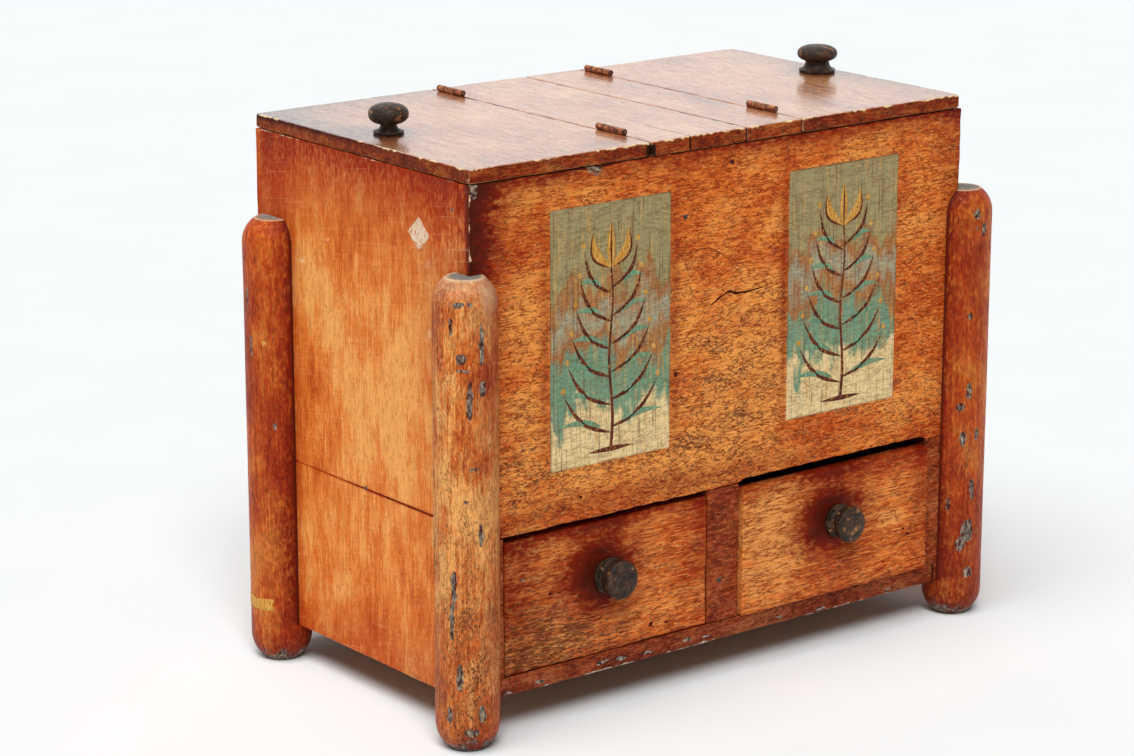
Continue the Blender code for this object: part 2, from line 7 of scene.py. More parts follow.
import logging
import math
from collections.abc import Sequence
from dataclasses import dataclass, field, replace
from enum import Enum
from functools import cache, cached_property

import bpy
import numpy as np
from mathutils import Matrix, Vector

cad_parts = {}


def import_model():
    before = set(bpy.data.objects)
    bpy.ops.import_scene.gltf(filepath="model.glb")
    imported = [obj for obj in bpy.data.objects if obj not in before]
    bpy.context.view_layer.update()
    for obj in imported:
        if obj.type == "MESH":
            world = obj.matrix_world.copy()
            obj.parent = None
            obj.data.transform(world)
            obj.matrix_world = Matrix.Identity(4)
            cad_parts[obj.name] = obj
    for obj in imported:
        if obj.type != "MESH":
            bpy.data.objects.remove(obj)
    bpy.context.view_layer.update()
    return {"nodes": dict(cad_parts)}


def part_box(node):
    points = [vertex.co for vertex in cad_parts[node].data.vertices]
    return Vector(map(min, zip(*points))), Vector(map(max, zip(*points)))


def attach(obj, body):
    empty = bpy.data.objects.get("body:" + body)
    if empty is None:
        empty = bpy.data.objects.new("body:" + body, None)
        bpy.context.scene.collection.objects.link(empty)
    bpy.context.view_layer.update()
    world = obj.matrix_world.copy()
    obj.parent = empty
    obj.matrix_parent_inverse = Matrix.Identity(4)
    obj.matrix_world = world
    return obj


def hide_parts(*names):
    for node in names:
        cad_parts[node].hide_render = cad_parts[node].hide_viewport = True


LOG = logging.getLogger("dry_storage_bin")
Array = np.ndarray
Corner = tuple[float, float, float]
Pair = tuple[float, float]
Piece = bpy.types.Object
Material = bpy.types.Material
Socket = bpy.types.NodeSocket
Setting = bool | int | float | str | tuple

MM = 0.001
SEAT = 0.3 * MM  # between faces that touch
SKIN = 6.0 * MM  # reach of a stain through the face that it lies on
NO_ARRIS = 60.0  # edge distance in mm, of a place far from any arris
CREASE = math.radians(42.0)  # edges that turn by more than this stay sharp
TORN = 1.3  # mark of a scar that shows nothing but the ground coat
HASH_PRIMES = np.array((73856093, 19349663, 83492791), dtype=np.int64)


class Grain(Enum):
    """Direction of a board's grain or a painter's strokes: the axis that it runs along."""

    WIDE = 0
    DEEP = 1
    UP = 2


class Side(Enum):
    """One face of a board: its axis, and 0 for the low end or 1 for the high end."""

    LEFT = (0, 0)
    RIGHT = (0, 1)
    FRONT = (1, 0)
    BACK = (1, 1)
    UNDER = (2, 0)
    UPPER = (2, 1)


def linear(colour: str) -> tuple[float, float, float, float]:
    """Turn an sRGB hex colour to linear light.

    Args:
        colour: Colour as "#RRGGBB".

    Returns:
        Red, green, blue and an alpha of 1.
    """
    srgb = np.array([int(colour[i:i + 2], 16) for i in (1, 3, 5)]) / 255.0
    light = np.where(srgb <= 0.04045, srgb / 12.92, ((srgb + 0.055) / 1.055) ** 2.4)
    return float(light[0]), float(light[1]), float(light[2]), 1.0


def lattice_noise(points: Array, size: float | Corner, seed: int) -> Array:
    """Smooth noise: fixed values on the corners of a lattice, blended by a smoothstep between them.

    Args:
        points: Places, one row each.
        size: Lattice spacing in metres, one for all axes or one for each.
        seed: Number that picks another pattern.

    Returns:
        One value from -1 to 1 for each place.
    """
    cell = points / np.asarray(size) + 17.31 * seed
    base = np.floor(cell).astype(np.int64)
    part = cell - base
    ease = part * part * (3.0 - 2.0 * part)
    noise = np.zeros(len(points))
    for corner in np.ndindex(2, 2, 2):
        mixed = ((base + np.array(corner)) * HASH_PRIMES).sum(axis=1)
        mixed = (mixed ^ (mixed >> 13)) * 1274126177
        value = ((mixed >> 7) & 0xFFFF) / 32767.5 - 1.0
        noise += np.where(corner, ease, 1.0 - ease).prod(axis=1) * value
    return noise


@dataclass
class Shell:
    """One closed surface: its points, its four-sided faces and its three-sided faces."""

    points: Array
    quads: Array
    tris: Array = field(default_factory=lambda: np.empty((0, 3), dtype=np.int64))

    def outward(self) -> "Shell":
        """Turn the faces outwards: the sum of signed tetrahedra on the origin has to be positive.

        Returns:
            This shell, with its faces reversed where they pointed in.
        """
        fans = (self.quads[:, (0, 1, 2)], self.quads[:, (0, 2, 3)], self.tris)
        a, b, c = self.points[np.concatenate(fans)].transpose(1, 0, 2)
        if np.einsum("ij,ij->", a, np.cross(b, c)) < 0.0:
            self.quads = self.quads[:, ::-1]
            self.tris = self.tris[:, ::-1]
        return self


def box_shell(lines: Sequence[Array]) -> Shell:
    """Lay a grid on each face of a box, with the points on the shared edges used once.

    A point is known by its three line numbers, so equal numbers on two faces are one point.

    Args:
        lines: Places of the grid's lines along x, y and z.

    Returns:
        The closed shell.
    """
    sizes = [len(places) for places in lines]
    faces = []
    for axis in range(3):
        u, v = (axis + 1) % 3, (axis + 2) % 3
        for end in (0, sizes[axis] - 1):
            index = np.zeros((sizes[u], sizes[v], 3), dtype=np.int64)
            index[..., axis] = end
            index[..., u] = np.arange(sizes[u])[:, None]
            index[..., v] = np.arange(sizes[v])
            key = (index[..., 0] * sizes[1] + index[..., 1]) * sizes[2] + index[..., 2]
            cells = np.stack((key[:-1, :-1], key[1:, :-1], key[1:, 1:], key[:-1, 1:]), axis=-1).reshape(-1, 4)
            faces.append(cells if end else cells[:, ::-1])
    keys, quads = np.unique(np.concatenate(faces), return_inverse=True)
    numbers = (keys // (sizes[1] * sizes[2]), keys // sizes[2] % sizes[1], keys % sizes[2])
    points = np.stack([places[number] for places, number in zip(lines, numbers)], axis=1)
    return Shell(points, quads.reshape(-1, 4))


def ring_shell(rings: Array, bored: bool = False) -> Shell:
    """Close a stack of rings: quads between neighbours, and a fan onto the middle of each end ring.

    Args:
        rings: Points by ring, by place round the ring, by axis.
        bored: Join the last ring to the first, as in a tube, and leave out the fans.

    Returns:
        The closed shell, facing outwards.
    """
    rows, columns = rings.shape[:2]
    index = np.arange(rows * columns).reshape(rows, columns)
    after = np.roll(index, -1, axis=1)
    if bored:
        corners = (index, after, np.roll(after, -1, axis=0), np.roll(index, -1, axis=0))
        return Shell(rings.reshape(-1, 3), np.stack(corners, axis=-1).reshape(-1, 4)).outward()
    quads = np.stack((index[:-1], after[:-1], after[1:], index[1:]), axis=-1).reshape(-1, 4)
    first = np.full(columns, rows * columns)
    ends = (after[0], index[0], first), (index[-1], after[-1], first + 1)
    fans = [np.stack(end, axis=1) for end in ends]
    middles = np.stack((rings[0].mean(axis=0), rings[-1].mean(axis=0)))
    points = np.concatenate((rings.reshape(-1, 3), middles))
    return Shell(points, quads, np.concatenate(fans)).outward()


def circle(count: int) -> Array:
    """Space angles evenly once round."""
    return np.linspace(0.0, 2.0 * np.pi, count, endpoint=False)


def turned(radius: Array, height: Array, count: int) -> Array:
    """Turn a profile on the z axis: a ring is x = r cos t, y = r sin t, z = h.

    Args:
        radius: Radius of each ring.
        height: Height of each ring.
        count: Points round a ring.

    Returns:
        Points by ring, by place round the ring, by axis.
    """
    rings = np.empty((len(height), count, 3))
    rings[..., 0] = radius[:, None] * np.cos(circle(count))
    rings[..., 1] = radius[:, None] * np.sin(circle(count))
    rings[..., 2] = height[:, None]
    return rings


def mesh_object(name: str, shells: Sequence[Shell]) -> Piece:
    """Put shells into one smooth-shaded mesh object at the origin.

    Args:
        name: Name of the object and its mesh.
        shells: Closed surfaces.

    Returns:
        The new object, linked to the scene.
    """
    offsets = np.cumsum([0] + [len(shell.points) for shell in shells[:-1]])
    points = np.concatenate([shell.points for shell in shells])
    quads = np.concatenate([shell.quads + offset for shell, offset in zip(shells, offsets)])
    tris = np.concatenate([shell.tris + offset for shell, offset in zip(shells, offsets)])
    corners = np.concatenate((quads.ravel(), tris.ravel())).astype(np.int32)
    starts = np.concatenate((np.arange(len(quads)) * 4, len(quads) * 4 + np.arange(len(tris)) * 3))
    mesh = bpy.data.meshes.new(name)
    mesh.vertices.add(len(points))
    mesh.vertices.foreach_set("co", points.astype(np.float32).ravel())
    mesh.loops.add(len(corners))
    mesh.loops.foreach_set("vertex_index", corners)
    mesh.polygons.add(len(starts))
    mesh.polygons.foreach_set("loop_start", starts.astype(np.int32))
    mesh.update(calc_edges=True)
    mesh.validate()
    mesh.shade_smooth()
    obj = bpy.data.objects.new(name, mesh)
    bpy.context.scene.collection.objects.link(obj)
    return obj


def vertex_points(obj: Piece) -> Array:
    """Read an object's vertices.

    Args:
        obj: A mesh object at the origin.

    Returns:
        One row of x, y, z for each vertex.
    """
    flat = np.empty(len(obj.data.vertices) * 3, dtype=np.float32)
    obj.data.vertices.foreach_get("co", flat)
    return flat.reshape(-1, 3).astype(np.float64)


def mark(obj: Piece, **values: Array | float) -> None:
    """Store one number for each vertex under each name, for the finish to read.

    Args:
        obj: A mesh object.
        **values: Arrays, or single numbers that hold all over.
    """
    count = len(obj.data.vertices)
    for name, value in values.items():
        layer = obj.data.attributes.new(name, "FLOAT", "POINT")
        layer.data.foreach_set("value", np.broadcast_to(value, count).astype(np.float32))


def combine(obj: Piece, other: Piece, operation: str) -> None:
    """Cut another solid from an object, or join it on, and keep the result as its mesh.

    Args:
        obj: The solid that is kept.
        other: The solid that is used up.
        operation: DIFFERENCE or UNION.
    """
    modifier = obj.modifiers.new("combine", "BOOLEAN")
    modifier.operation = operation
    modifier.solver = "EXACT"
    modifier.object = other
    result = bpy.data.meshes.new_from_object(obj.evaluated_get(bpy.context.evaluated_depsgraph_get()))
    obj.modifiers.clear()
    spent = obj.data
    obj.data = result
    bpy.data.meshes.remove(spent)
    bpy.data.meshes.remove(other.data)
    result.name = obj.name
    result.shade_smooth()
    result.set_sharp_from_angle(angle=CREASE)


@dataclass
class Cut:
    """A box taken out of a piece. The taper narrows it in x towards its upper and its back edges."""

    low: Corner
    high: Corner
    taper: float = 1.0

    def shell(self) -> Shell:
        """Make the box, each x drawn to the middle by the taper where z or y is high.

        Returns:
            The closed shell.
        """
        shell = box_shell([np.array(span) for span in zip(self.low, self.high)])
        middle = (np.array(self.low) + np.array(self.high)) / 2.0
        narrow = (shell.points[:, 1:] > middle[1:]).any(axis=1)
        share = np.where(narrow, self.taper, 1.0)
        shell.points[:, 0] = middle[0] + (shell.points[:, 0] - middle[0]) * share
        return shell


def carve(obj: Piece, shells: Sequence[Shell]) -> None:
    """Take closed shapes, which don't meet each other, out of a piece."""
    combine(obj, mesh_object("cutter", shells), "DIFFERENCE")


def brush_stroke(path: Array, half: Array, surface: float, rise: float) -> Shell:
    """Sweep a flat ellipse along a path on the front: as a brush stroke, or as a crack to cut out.

    Args:
        path: Places in x and z.
        half: Half width at each place.
        surface: Face that the stroke lies on, in y.
        rise: Half height of the ellipse.

    Returns:
        The closed shell.
    """
    ahead = np.gradient(path, axis=0)
    ahead /= np.linalg.norm(ahead, axis=1)[:, None]
    turn = circle(10)
    rings = np.empty((len(path), len(turn), 3))
    rings[..., 0] = path[:, :1] - ahead[:, 1:] * half[:, None] * np.cos(turn)
    rings[..., 2] = path[:, 1:] + ahead[:, :1] * half[:, None] * np.cos(turn)
    rings[..., 1] = surface - rise * np.sin(turn)
    return ring_shell(rings)


def settle(obj: Piece, material: Material, body: str, slot: str, *nodes: str) -> None:
    """Give a finished piece its material and its body, and hide the solids that it stands for.

    Args:
        obj: The piece.
        material: Its finish.
        body: Body that it moves with.
        slot: Not used.
        *nodes: Solids that it takes the place of.
    """
    obj.data.materials.clear()
    obj.data.materials.append(material)
    if nodes:
        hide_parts(*nodes)
    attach(obj, body)
    LOG.info("%s rides on %s, %d faces", obj.name, body, len(obj.data.polygons))


class Tree:
    """A node tree that is filled one node at a time."""

    def __init__(self, owner: Material | bpy.types.World) -> None:
        """Empty the owner's tree and keep it."""
        self.owner = owner
        owner.use_nodes = True
        self.nodes = owner.node_tree.nodes
        self.links = owner.node_tree.links
        self.nodes.clear()

    @cached_property
    def place(self) -> Socket:
        """Object coordinates in metres."""
        return self.add("TexCoord", out="Object")

    def add(
            self, kind: str, settings: dict[str | int, Setting] | None = None,
            links: Socket | dict[str | int, Socket] | None = None, out: str | int = 0) -> Socket | None:
        """Add a node, set its properties, ramp stops and inputs, and link what feeds it.

        Args:
            kind: Node type, without its ShaderNode prefix.
            settings: Property or input to value; "stops" holds places and hex colours of a ramp.
            links: Input to the socket that feeds it, or only the socket that feeds the first input.
            out: The output to hand back.

        Returns:
            That output, or None where the node has no outputs.
        """
        node = self.nodes.new(f"ShaderNode{kind}")
        for key, value in (settings or {}).items():
            if key == "stops":
                ramp = node.color_ramp.elements
                while len(ramp) < len(value):
                    ramp.new(1.0)
                for element, (position, colour) in zip(ramp, value):
                    element.position = position
                    element.color = linear(colour)
            elif isinstance(key, str) and hasattr(node, key):
                setattr(node, key, value)
            else:
                node.inputs[key].default_value = value
        feeds = {0: links} if isinstance(links, Socket) else links or {}
        for key, socket in feeds.items():
            self.links.new(socket, node.inputs[key])
        return node.outputs[out] if len(node.outputs) else None

    def figure(
            self, grain: Grain, along: float, across: float, detail: float = 2.0,
            turn: Corner = (0, 0, 0)) -> Socket:
        """Add noise on coordinates that are turned, then scaled so that one unit is one blotch.

        Args:
            grain: Direction of a blotch's length.
            along: Length of a blotch in mm.
            across: Width of a blotch in mm.
            detail: Octaves of finer noise on top.
            turn: Turn of the pattern in degrees about x, y and z.

        Returns:
            The noise, from 0 to 1 with most of it near 0.5.
        """
        scale = [1.0 / (across * MM)] * 3
        scale[grain.value] = 1.0 / (along * MM)
        mapped = self.add("Mapping", {"Rotation": tuple(map(math.radians, turn))}, self.place)
        mapped = self.add("Mapping", {"Scale": tuple(scale)}, mapped)
        return self.add("TexNoise", {"Scale": 1.0, "Detail": detail, "Roughness": 0.55}, mapped)


@dataclass(frozen=True)
class AgedPaint:
    """Brushed oil paint under old varnish, on planks that have been used for decades.

    Clouds, brush lines and mottling set the tone, and flecks are ridges that catch the light. The
    crackle is thin wavy lines along the brush strokes, sunk a little. Hatches are short pits down to
    the ground coat. The paint is gone along arrises and where it chipped off, and the varnish has
    dulled, so that the front shine is weak.
    """

    name: str
    deep: str
    body: str
    light: str
    scar: str  # ground coat in pits and cracks; also the near-black of dark joints and of the deepest painted shade
    soot_and_shade: str  # handled dirt and painted shade, where that mark is set
    crack: str = "#7A2206"  # lines of the crackle
    bare: str = "#DDBB88"  # worn wood along the arrises
    raw: tuple[str, str] = ("#8E582E", "#C28C54")  # unpainted faces, dark and light grain
    chip: str = "#857A6E"
    grain: Grain = Grain.WIDE
    spread: float = 0.11  # half width of the tones: less gives more contrast
    cloud_mm: float = 110.0
    brush_mm: Pair = (50.0, 2.4)
    brush_share: float = 0.35
    mottle_mm: Pair = (16.0, 9.0)
    mottle_share: float = 0.35
    cross_share: float = 0.0  # brush lines the other way
    cross_grain: Grain = Grain.DEEP
    crackle_mm: Pair = (19.0, 4.2)  # coarser than the real lines, the finest of which wouldn't show
    crackle_share: float = 0.9
    crackle_width: float = 0.045  # in levels of the noise
    fleck_share: float = 0.4
    glint: str = "#F8B470"  # painted highlight on the lifted rims of the pits
    glint_share: float = 0.38
    fleck_mm: Pair = (6.0, 2.0)
    hatch_mm: Pair = (7.5, 2.0)
    hatch_level: float = 0.7
    hatch_share: float = 0.7
    hatch_turns: tuple[Corner, ...] = ((0, 24, 0), (0, -38, 0))
    scratch_level: float = 0.76
    scratch_share: float = 0.5
    scratch_turn: Corner = (0, 0, 0)
    scratch_mm: Pair = (45.0, 1.4)
    scratch_grain: Grain = Grain.WIDE
    wear_mm: float = 1.4
    wear_from: float = 0.5  # share of an arris that keeps its paint
    roughness: float = 0.5
    shine: float = 0.07
    coat: float = 0.0
    coat_roughness: float = 0.25
    relief: float = 0.9

    def tone(self, tree: Tree, faded: Socket) -> tuple[Socket, Socket]:
        """Blend clouds, brush lines both ways and mottling into the paint's tones.

        Args:
            tree: The material's tree.
            faded: The mark; the paint is lighter there, for dust and for painted sheen.

        Returns:
            The colour, and the brush lines.
        """
        mixed = tree.figure(self.grain, self.cloud_mm, self.cloud_mm * 0.6, 3.0)
        brush = tree.figure(self.grain, *self.brush_mm, 4.0)
        mottle = tree.figure(self.grain, *self.mottle_mm, 4.0)
        cross = tree.figure(self.cross_grain, *self.brush_mm, 4.0, self.scratch_turn)
        shares = self.brush_share, self.mottle_share, self.cross_share
        for share, over in zip(shares, (brush, mottle, cross)):
            mixed = tree.add("Mix", {"Factor": share}, {2: mixed, 3: over})
        mixed = tree.add("Math", {"operation": "MULTIPLY_ADD", 1: 0.16}, {0: faded, 2: mixed})
        stops = ((0.5 - self.spread, self.deep), (0.5, self.body), (0.5 + self.spread, self.light))
        return tree.add("ValToRGB", {"stops": stops}, mixed, "Color"), brush

    def crackle(self, tree: Tree) -> Socket:
        """Draw the crack lines: level lines of two long noises, thinned out in patches.

        Args:
            tree: The material's tree.

        Returns:
            Strength of the lines.
        """
        lines = None
        for size, offset in ((1.0, 0.5), (0.62, 0.53)):
            wave = tree.figure(self.grain, self.crackle_mm[0] * size, self.crackle_mm[1] * size, 2.0)
            level = tree.add("Math", {"operation": "SUBTRACT", 1: offset}, wave)
            level = tree.add("Math", {"operation": "ABSOLUTE"}, level)
            steps = {"From Max": self.crackle_width, "To Min": self.crackle_share, "To Max": 0.0}
            line = tree.add("MapRange", steps, level)
            patch = tree.figure(self.grain, 26.0 * size, 9.0 * size, 3.0)
            patch = tree.add("MapRange", {"From Min": 0.4, "From Max": 0.54}, patch)
            line = tree.add("Math", {"operation": "MULTIPLY"}, {0: line, 1: patch})
            lines = tree.add("Math", {"operation": "MAXIMUM"}, {0: line, 1: lines}) if lines else line
        return lines

    def hatches(self, tree: Tree, hatch: Socket) -> tuple[Socket, Socket]:
        """Scatter short pits in a few directions, more of them where hatch is marked.

        Args:
            tree: The material's tree.
            hatch: The mark.

        Returns:
            Strength of the pits, and of the painted highlight on the lifted rims round them.
        """
        cluster = tree.figure(self.grain, 46.0, 24.0, 3.0)
        crowd = tree.add("Math", {"operation": "MULTIPLY_ADD", 1: 0.3}, {0: hatch, 2: cluster})
        near = tree.figure(self.grain, *self.hatch_mm, 2.0, self.hatch_turns[0])
        for turn in self.hatch_turns[1:]:
            pit = tree.figure(self.grain, *self.hatch_mm, 2.0, turn)
            near = tree.add("Math", {"operation": "MAXIMUM"}, {0: pit, 1: near})
        near = tree.add("Math", {"operation": "MULTIPLY_ADD", 1: 0.35}, {0: crowd, 2: near})
        level = self.hatch_level + 0.175
        rims = {"From Min": level - 0.05, "From Max": level - 0.005, "To Max": self.glint_share}
        pits = {"From Min": level, "From Max": level + 0.08, "To Max": self.hatch_share}
        return tree.add("MapRange", pits, near), tree.add("MapRange", rims, near)

    def worn(self, tree: Tree, flake: Socket, edge: Socket, pale: Socket) -> Socket:
        """Wear the paint off: along arrises by a width that comes and goes, and in pale patches.

        Args:
            tree: The material's tree.
            flake: Noise that breaks up the border of the wear.
            edge: Distance from the arris in mm.
            pale: The mark.

        Returns:
            1 on worn wood, else 0.
        """
        add = tree.add
        reach = tree.figure(self.grain, 45.0, 45.0, 2.0)
        steps = {"From Min": self.wear_from - 0.05, "From Max": self.wear_from + 0.07, "To Max": self.wear_mm}
        reach = add("MapRange", steps, reach)
        ragged = tree.figure(self.grain, 8.0, 8.0, 5.0)
        width = add("MapRange", {"From Min": 0.38, "From Max": 0.66, "To Max": 2.4}, ragged)
        width = add("Math", {"operation": "MULTIPLY"}, {0: width, 1: reach})
        width = add("Math", {"operation": "SUBTRACT"}, {0: width, 1: edge})
        arris = add("MapRange", {"From Min": -0.2, "From Max": 0.6}, width)
        steps = {"From Min": 0.3, "From Max": 0.7, "To Min": -0.13, "To Max": 0.13}
        bald = add("MapRange", steps, flake)
        bald = add("Math", {"operation": "ADD"}, {0: bald, 1: pale})
        bald = add("MapRange", {"From Min": 0.22, "From Max": 0.95}, bald)
        return add("Math", {"operation": "MAXIMUM"}, {0: arris, 1: bald})

    @cache
    def material(self) -> Material:
        """Build the finish, which reads the marks edge (mm), grime with painted shade, hatch, pale, raw,
        chip, scar, and dust with painted sheen.

        Returns:
            The new material.
        """
        tree = Tree(bpy.data.materials.new(self.name))
        add = tree.add
        edge, grime, hatch, pale, raw, chip, scar, faded = (
            add("Attribute", {"attribute_name": name}, out="Fac")
            for name in ("edge", "grime", "hatch", "pale", "raw", "chip", "scar", "faded"))
        flake = tree.figure(self.grain, 8.0, 4.0, 4.0)
        colour, brush = self.tone(tree, faded)

        fleck = tree.figure(self.grain, *self.fleck_mm, 1.0)
        fleck = add("MapRange", {"From Min": 0.54, "From Max": 0.68, "To Max": self.fleck_share}, fleck)
        pit, rim = self.hatches(tree, hatch)
        cover = add("MapRange", {"From Min": 0.36, "From Max": 0.6, "To Min": 0.5}, flake)
        # The dirt layer carries handled dirt and painted shade alike, broken up in patches.
        dirt = add("Math", {"operation": "MULTIPLY", "use_clamp": True}, {0: grime, 1: cover})
        line = self.crackle(tree)
        # Near-black where that mark is strongest: dark joints, and the deepest painted shade.
        dark_joints_and_shade = add("MapRange", {"From Min": 0.9, "From Max": 2.0, "To Max": 0.92}, grime)
        crack = add("Math", {"operation": "MULTIPLY_ADD", 1: 0.6}, {0: flake, 2: scar})
        crack = add("MapRange", {"From Min": 1.08, "From Max": 1.16}, crack)
        pit = add("Math", {"operation": "MAXIMUM"}, {0: pit, 1: crack})
        scratch = tree.figure(self.scratch_grain, *self.scratch_mm, 2.0, self.scratch_turn)
        level = self.scratch_level
        steps = {"From Min": level, "From Max": level + 0.06, "To Max": self.scratch_share}
        scratch = add("MapRange", steps, scratch)
        worn = self.worn(tree, flake, edge, pale)
        worn = add("Math", {"operation": "SUBTRACT", "use_clamp": True}, {0: worn, 1: crack})
        gone = add("Math", {"operation": "MAXIMUM"}, {0: worn, 1: scratch})
        # Each layer covers the colour by its share, so the last ones lie on top.
        layers = (
            (self.light, fleck), (self.glint, rim), (self.soot_and_shade, dirt), (self.crack, line), (self.scar, dark_joints_and_shade),
            (self.scar, pit), (self.bare, gone))
        for tint, share in layers:
            colour = add("Mix", {"data_type": "RGBA", 7: linear(tint)}, {"Factor": share, 6: colour}, 2)

        lost = add("Math", {"operation": "MULTIPLY_ADD", 1: 0.7}, {0: flake, 2: chip})
        lost = add("MapRange", {"From Min": 0.84, "From Max": 0.92}, lost)
        speck = tree.figure(self.grain, 7.0, 3.0, 3.0)
        fibre = tree.figure(self.grain, 120.0, 3.0, 5.0)
        grounds = (
            (lost, speck, ((0.4, self.scar), (0.54, self.chip), (0.82, self.bare))),
            (raw, fibre, ((0.36, self.raw[0]), (0.6, self.raw[1]))))
        for share, figure, stops in grounds:
            ground = add("ValToRGB", {"stops": stops}, figure, "Color")
            colour = add("Mix", {"data_type": "RGBA"}, {"Factor": share, 6: colour, 7: ground}, 2)

        matt = add("Math", {"operation": "MAXIMUM"}, {0: worn, 1: raw})
        low, high = self.roughness - 0.08, self.roughness + 0.1
        steps = {"From Min": 0.35, "From Max": 0.65, "To Min": low, "To Max": high}
        gloss = add("MapRange", steps, flake)
        gloss = add("Math", {"operation": "MULTIPLY_ADD", 1: 0.25, "use_clamp": True}, {0: matt, 2: gloss})
        height = brush
        for rise, part in ((-0.7, line), (0.6, rim), (-1.4, pit), (-0.8, lost)):
            height = add("Math", {"operation": "MULTIPLY_ADD", 1: rise}, {0: part, 2: height})
        bump = add("Bump", {"Strength": self.relief, "Distance": 0.8 * MM}, {"Height": height})
        settings = {
            "Specular IOR Level": self.shine, "Coat Weight": self.coat, "Coat Roughness": self.coat_roughness,
            "IOR": 1.5}
        shader = add("BsdfPrincipled", settings, {"Base Color": colour, "Roughness": gloss, "Normal": bump})
        tree.add("OutputMaterial", links={"Surface": shader})
        return tree.owner


@dataclass(frozen=True)
class AgedPine:
    """Bare pine, planed by hand and browned inside the case: matt, with soft dark growth lines."""

    name: str
    grain: Grain
    late: str = "#663C1C"
    early: str = "#986230"
    pale: str = "#B47E46"

    @cache
    def material(self) -> Material:
        """Build the finish from growth lines 6 mm apart and fine fibres along the grain.

        Returns:
            The new material.
        """
        tree = Tree(bpy.data.materials.new(self.name))
        growth = tree.figure(self.grain, 260.0, 6.0, 4.0)
        fibre = tree.figure(self.grain, 30.0, 0.9, 2.0)
        tone = tree.add("Mix", {"Factor": 0.35}, {2: growth, 3: fibre})
        stops = ((0.38, self.late), (0.52, self.early), (0.66, self.pale))
        colour = tree.add("ValToRGB", {"stops": stops}, tone, "Color")
        rough = tree.add("MapRange", {"To Min": 0.62, "To Max": 0.85}, growth)
        bump = tree.add("Bump", {"Strength": 0.35, "Distance": 0.3 * MM}, {"Height": tone})
        shader = tree.add(
            "BsdfPrincipled", {"IOR": 1.5}, {"Base Color": colour, "Roughness": rough, "Normal": bump})
        tree.add("OutputMaterial", links={"Surface": shader})
        return tree.owner


@dataclass(frozen=True)
class RustedIron:
    """Forged iron with a skin of rust: brown and orange blooms, with dark metal where it rubs."""

    name: str
    dark: str = "#30170F"
    brown: str = "#94502E"
    orange: str = "#DA9258"
    metal: float = 0.35
    soot_and_shade: str = "#140A07"  # old grease in the gaps between knuckles, where that mark is set

    @cache
    def material(self) -> Material:
        """Build the finish from blooms 5 mm wide and grit, drawn as coarse as 0.8 mm so that it shows.

        Returns:
            The new material.
        """
        tree = Tree(bpy.data.materials.new(self.name))
        bloom = tree.figure(Grain.DEEP, 6.0, 4.0, 3.0)
        grit = tree.figure(Grain.DEEP, 0.8, 0.8, 2.0)
        tone = tree.add("Mix", {"Factor": 0.35}, {2: bloom, 3: grit})
        stops = ((0.38, self.dark), (0.5, self.brown), (0.64, self.orange))
        colour = tree.add("ValToRGB", {"stops": stops}, tone, "Color")
        grime = tree.add("Attribute", {"attribute_name": "grime"}, out="Fac")
        colour = tree.add("Mix", {"data_type": "RGBA", 7: linear(self.soot_and_shade)}, {"Factor": grime, 6: colour}, 2)
        steps = {"From Min": 0.4, "From Max": 0.5, "To Min": self.metal, "To Max": 0.0}
        bare = tree.add("MapRange", steps, bloom)
        rough = tree.add("MapRange", {"To Min": 0.4, "To Max": 0.75}, tone)
        bump = tree.add("Bump", {"Strength": 0.5, "Distance": 0.2 * MM}, {"Height": tone})
        links = {"Base Color": colour, "Metallic": bare, "Roughness": rough, "Normal": bump}
        shader = tree.add("BsdfPrincipled", None, links)
        tree.add("OutputMaterial", links={"Surface": shader})
        return tree.owner


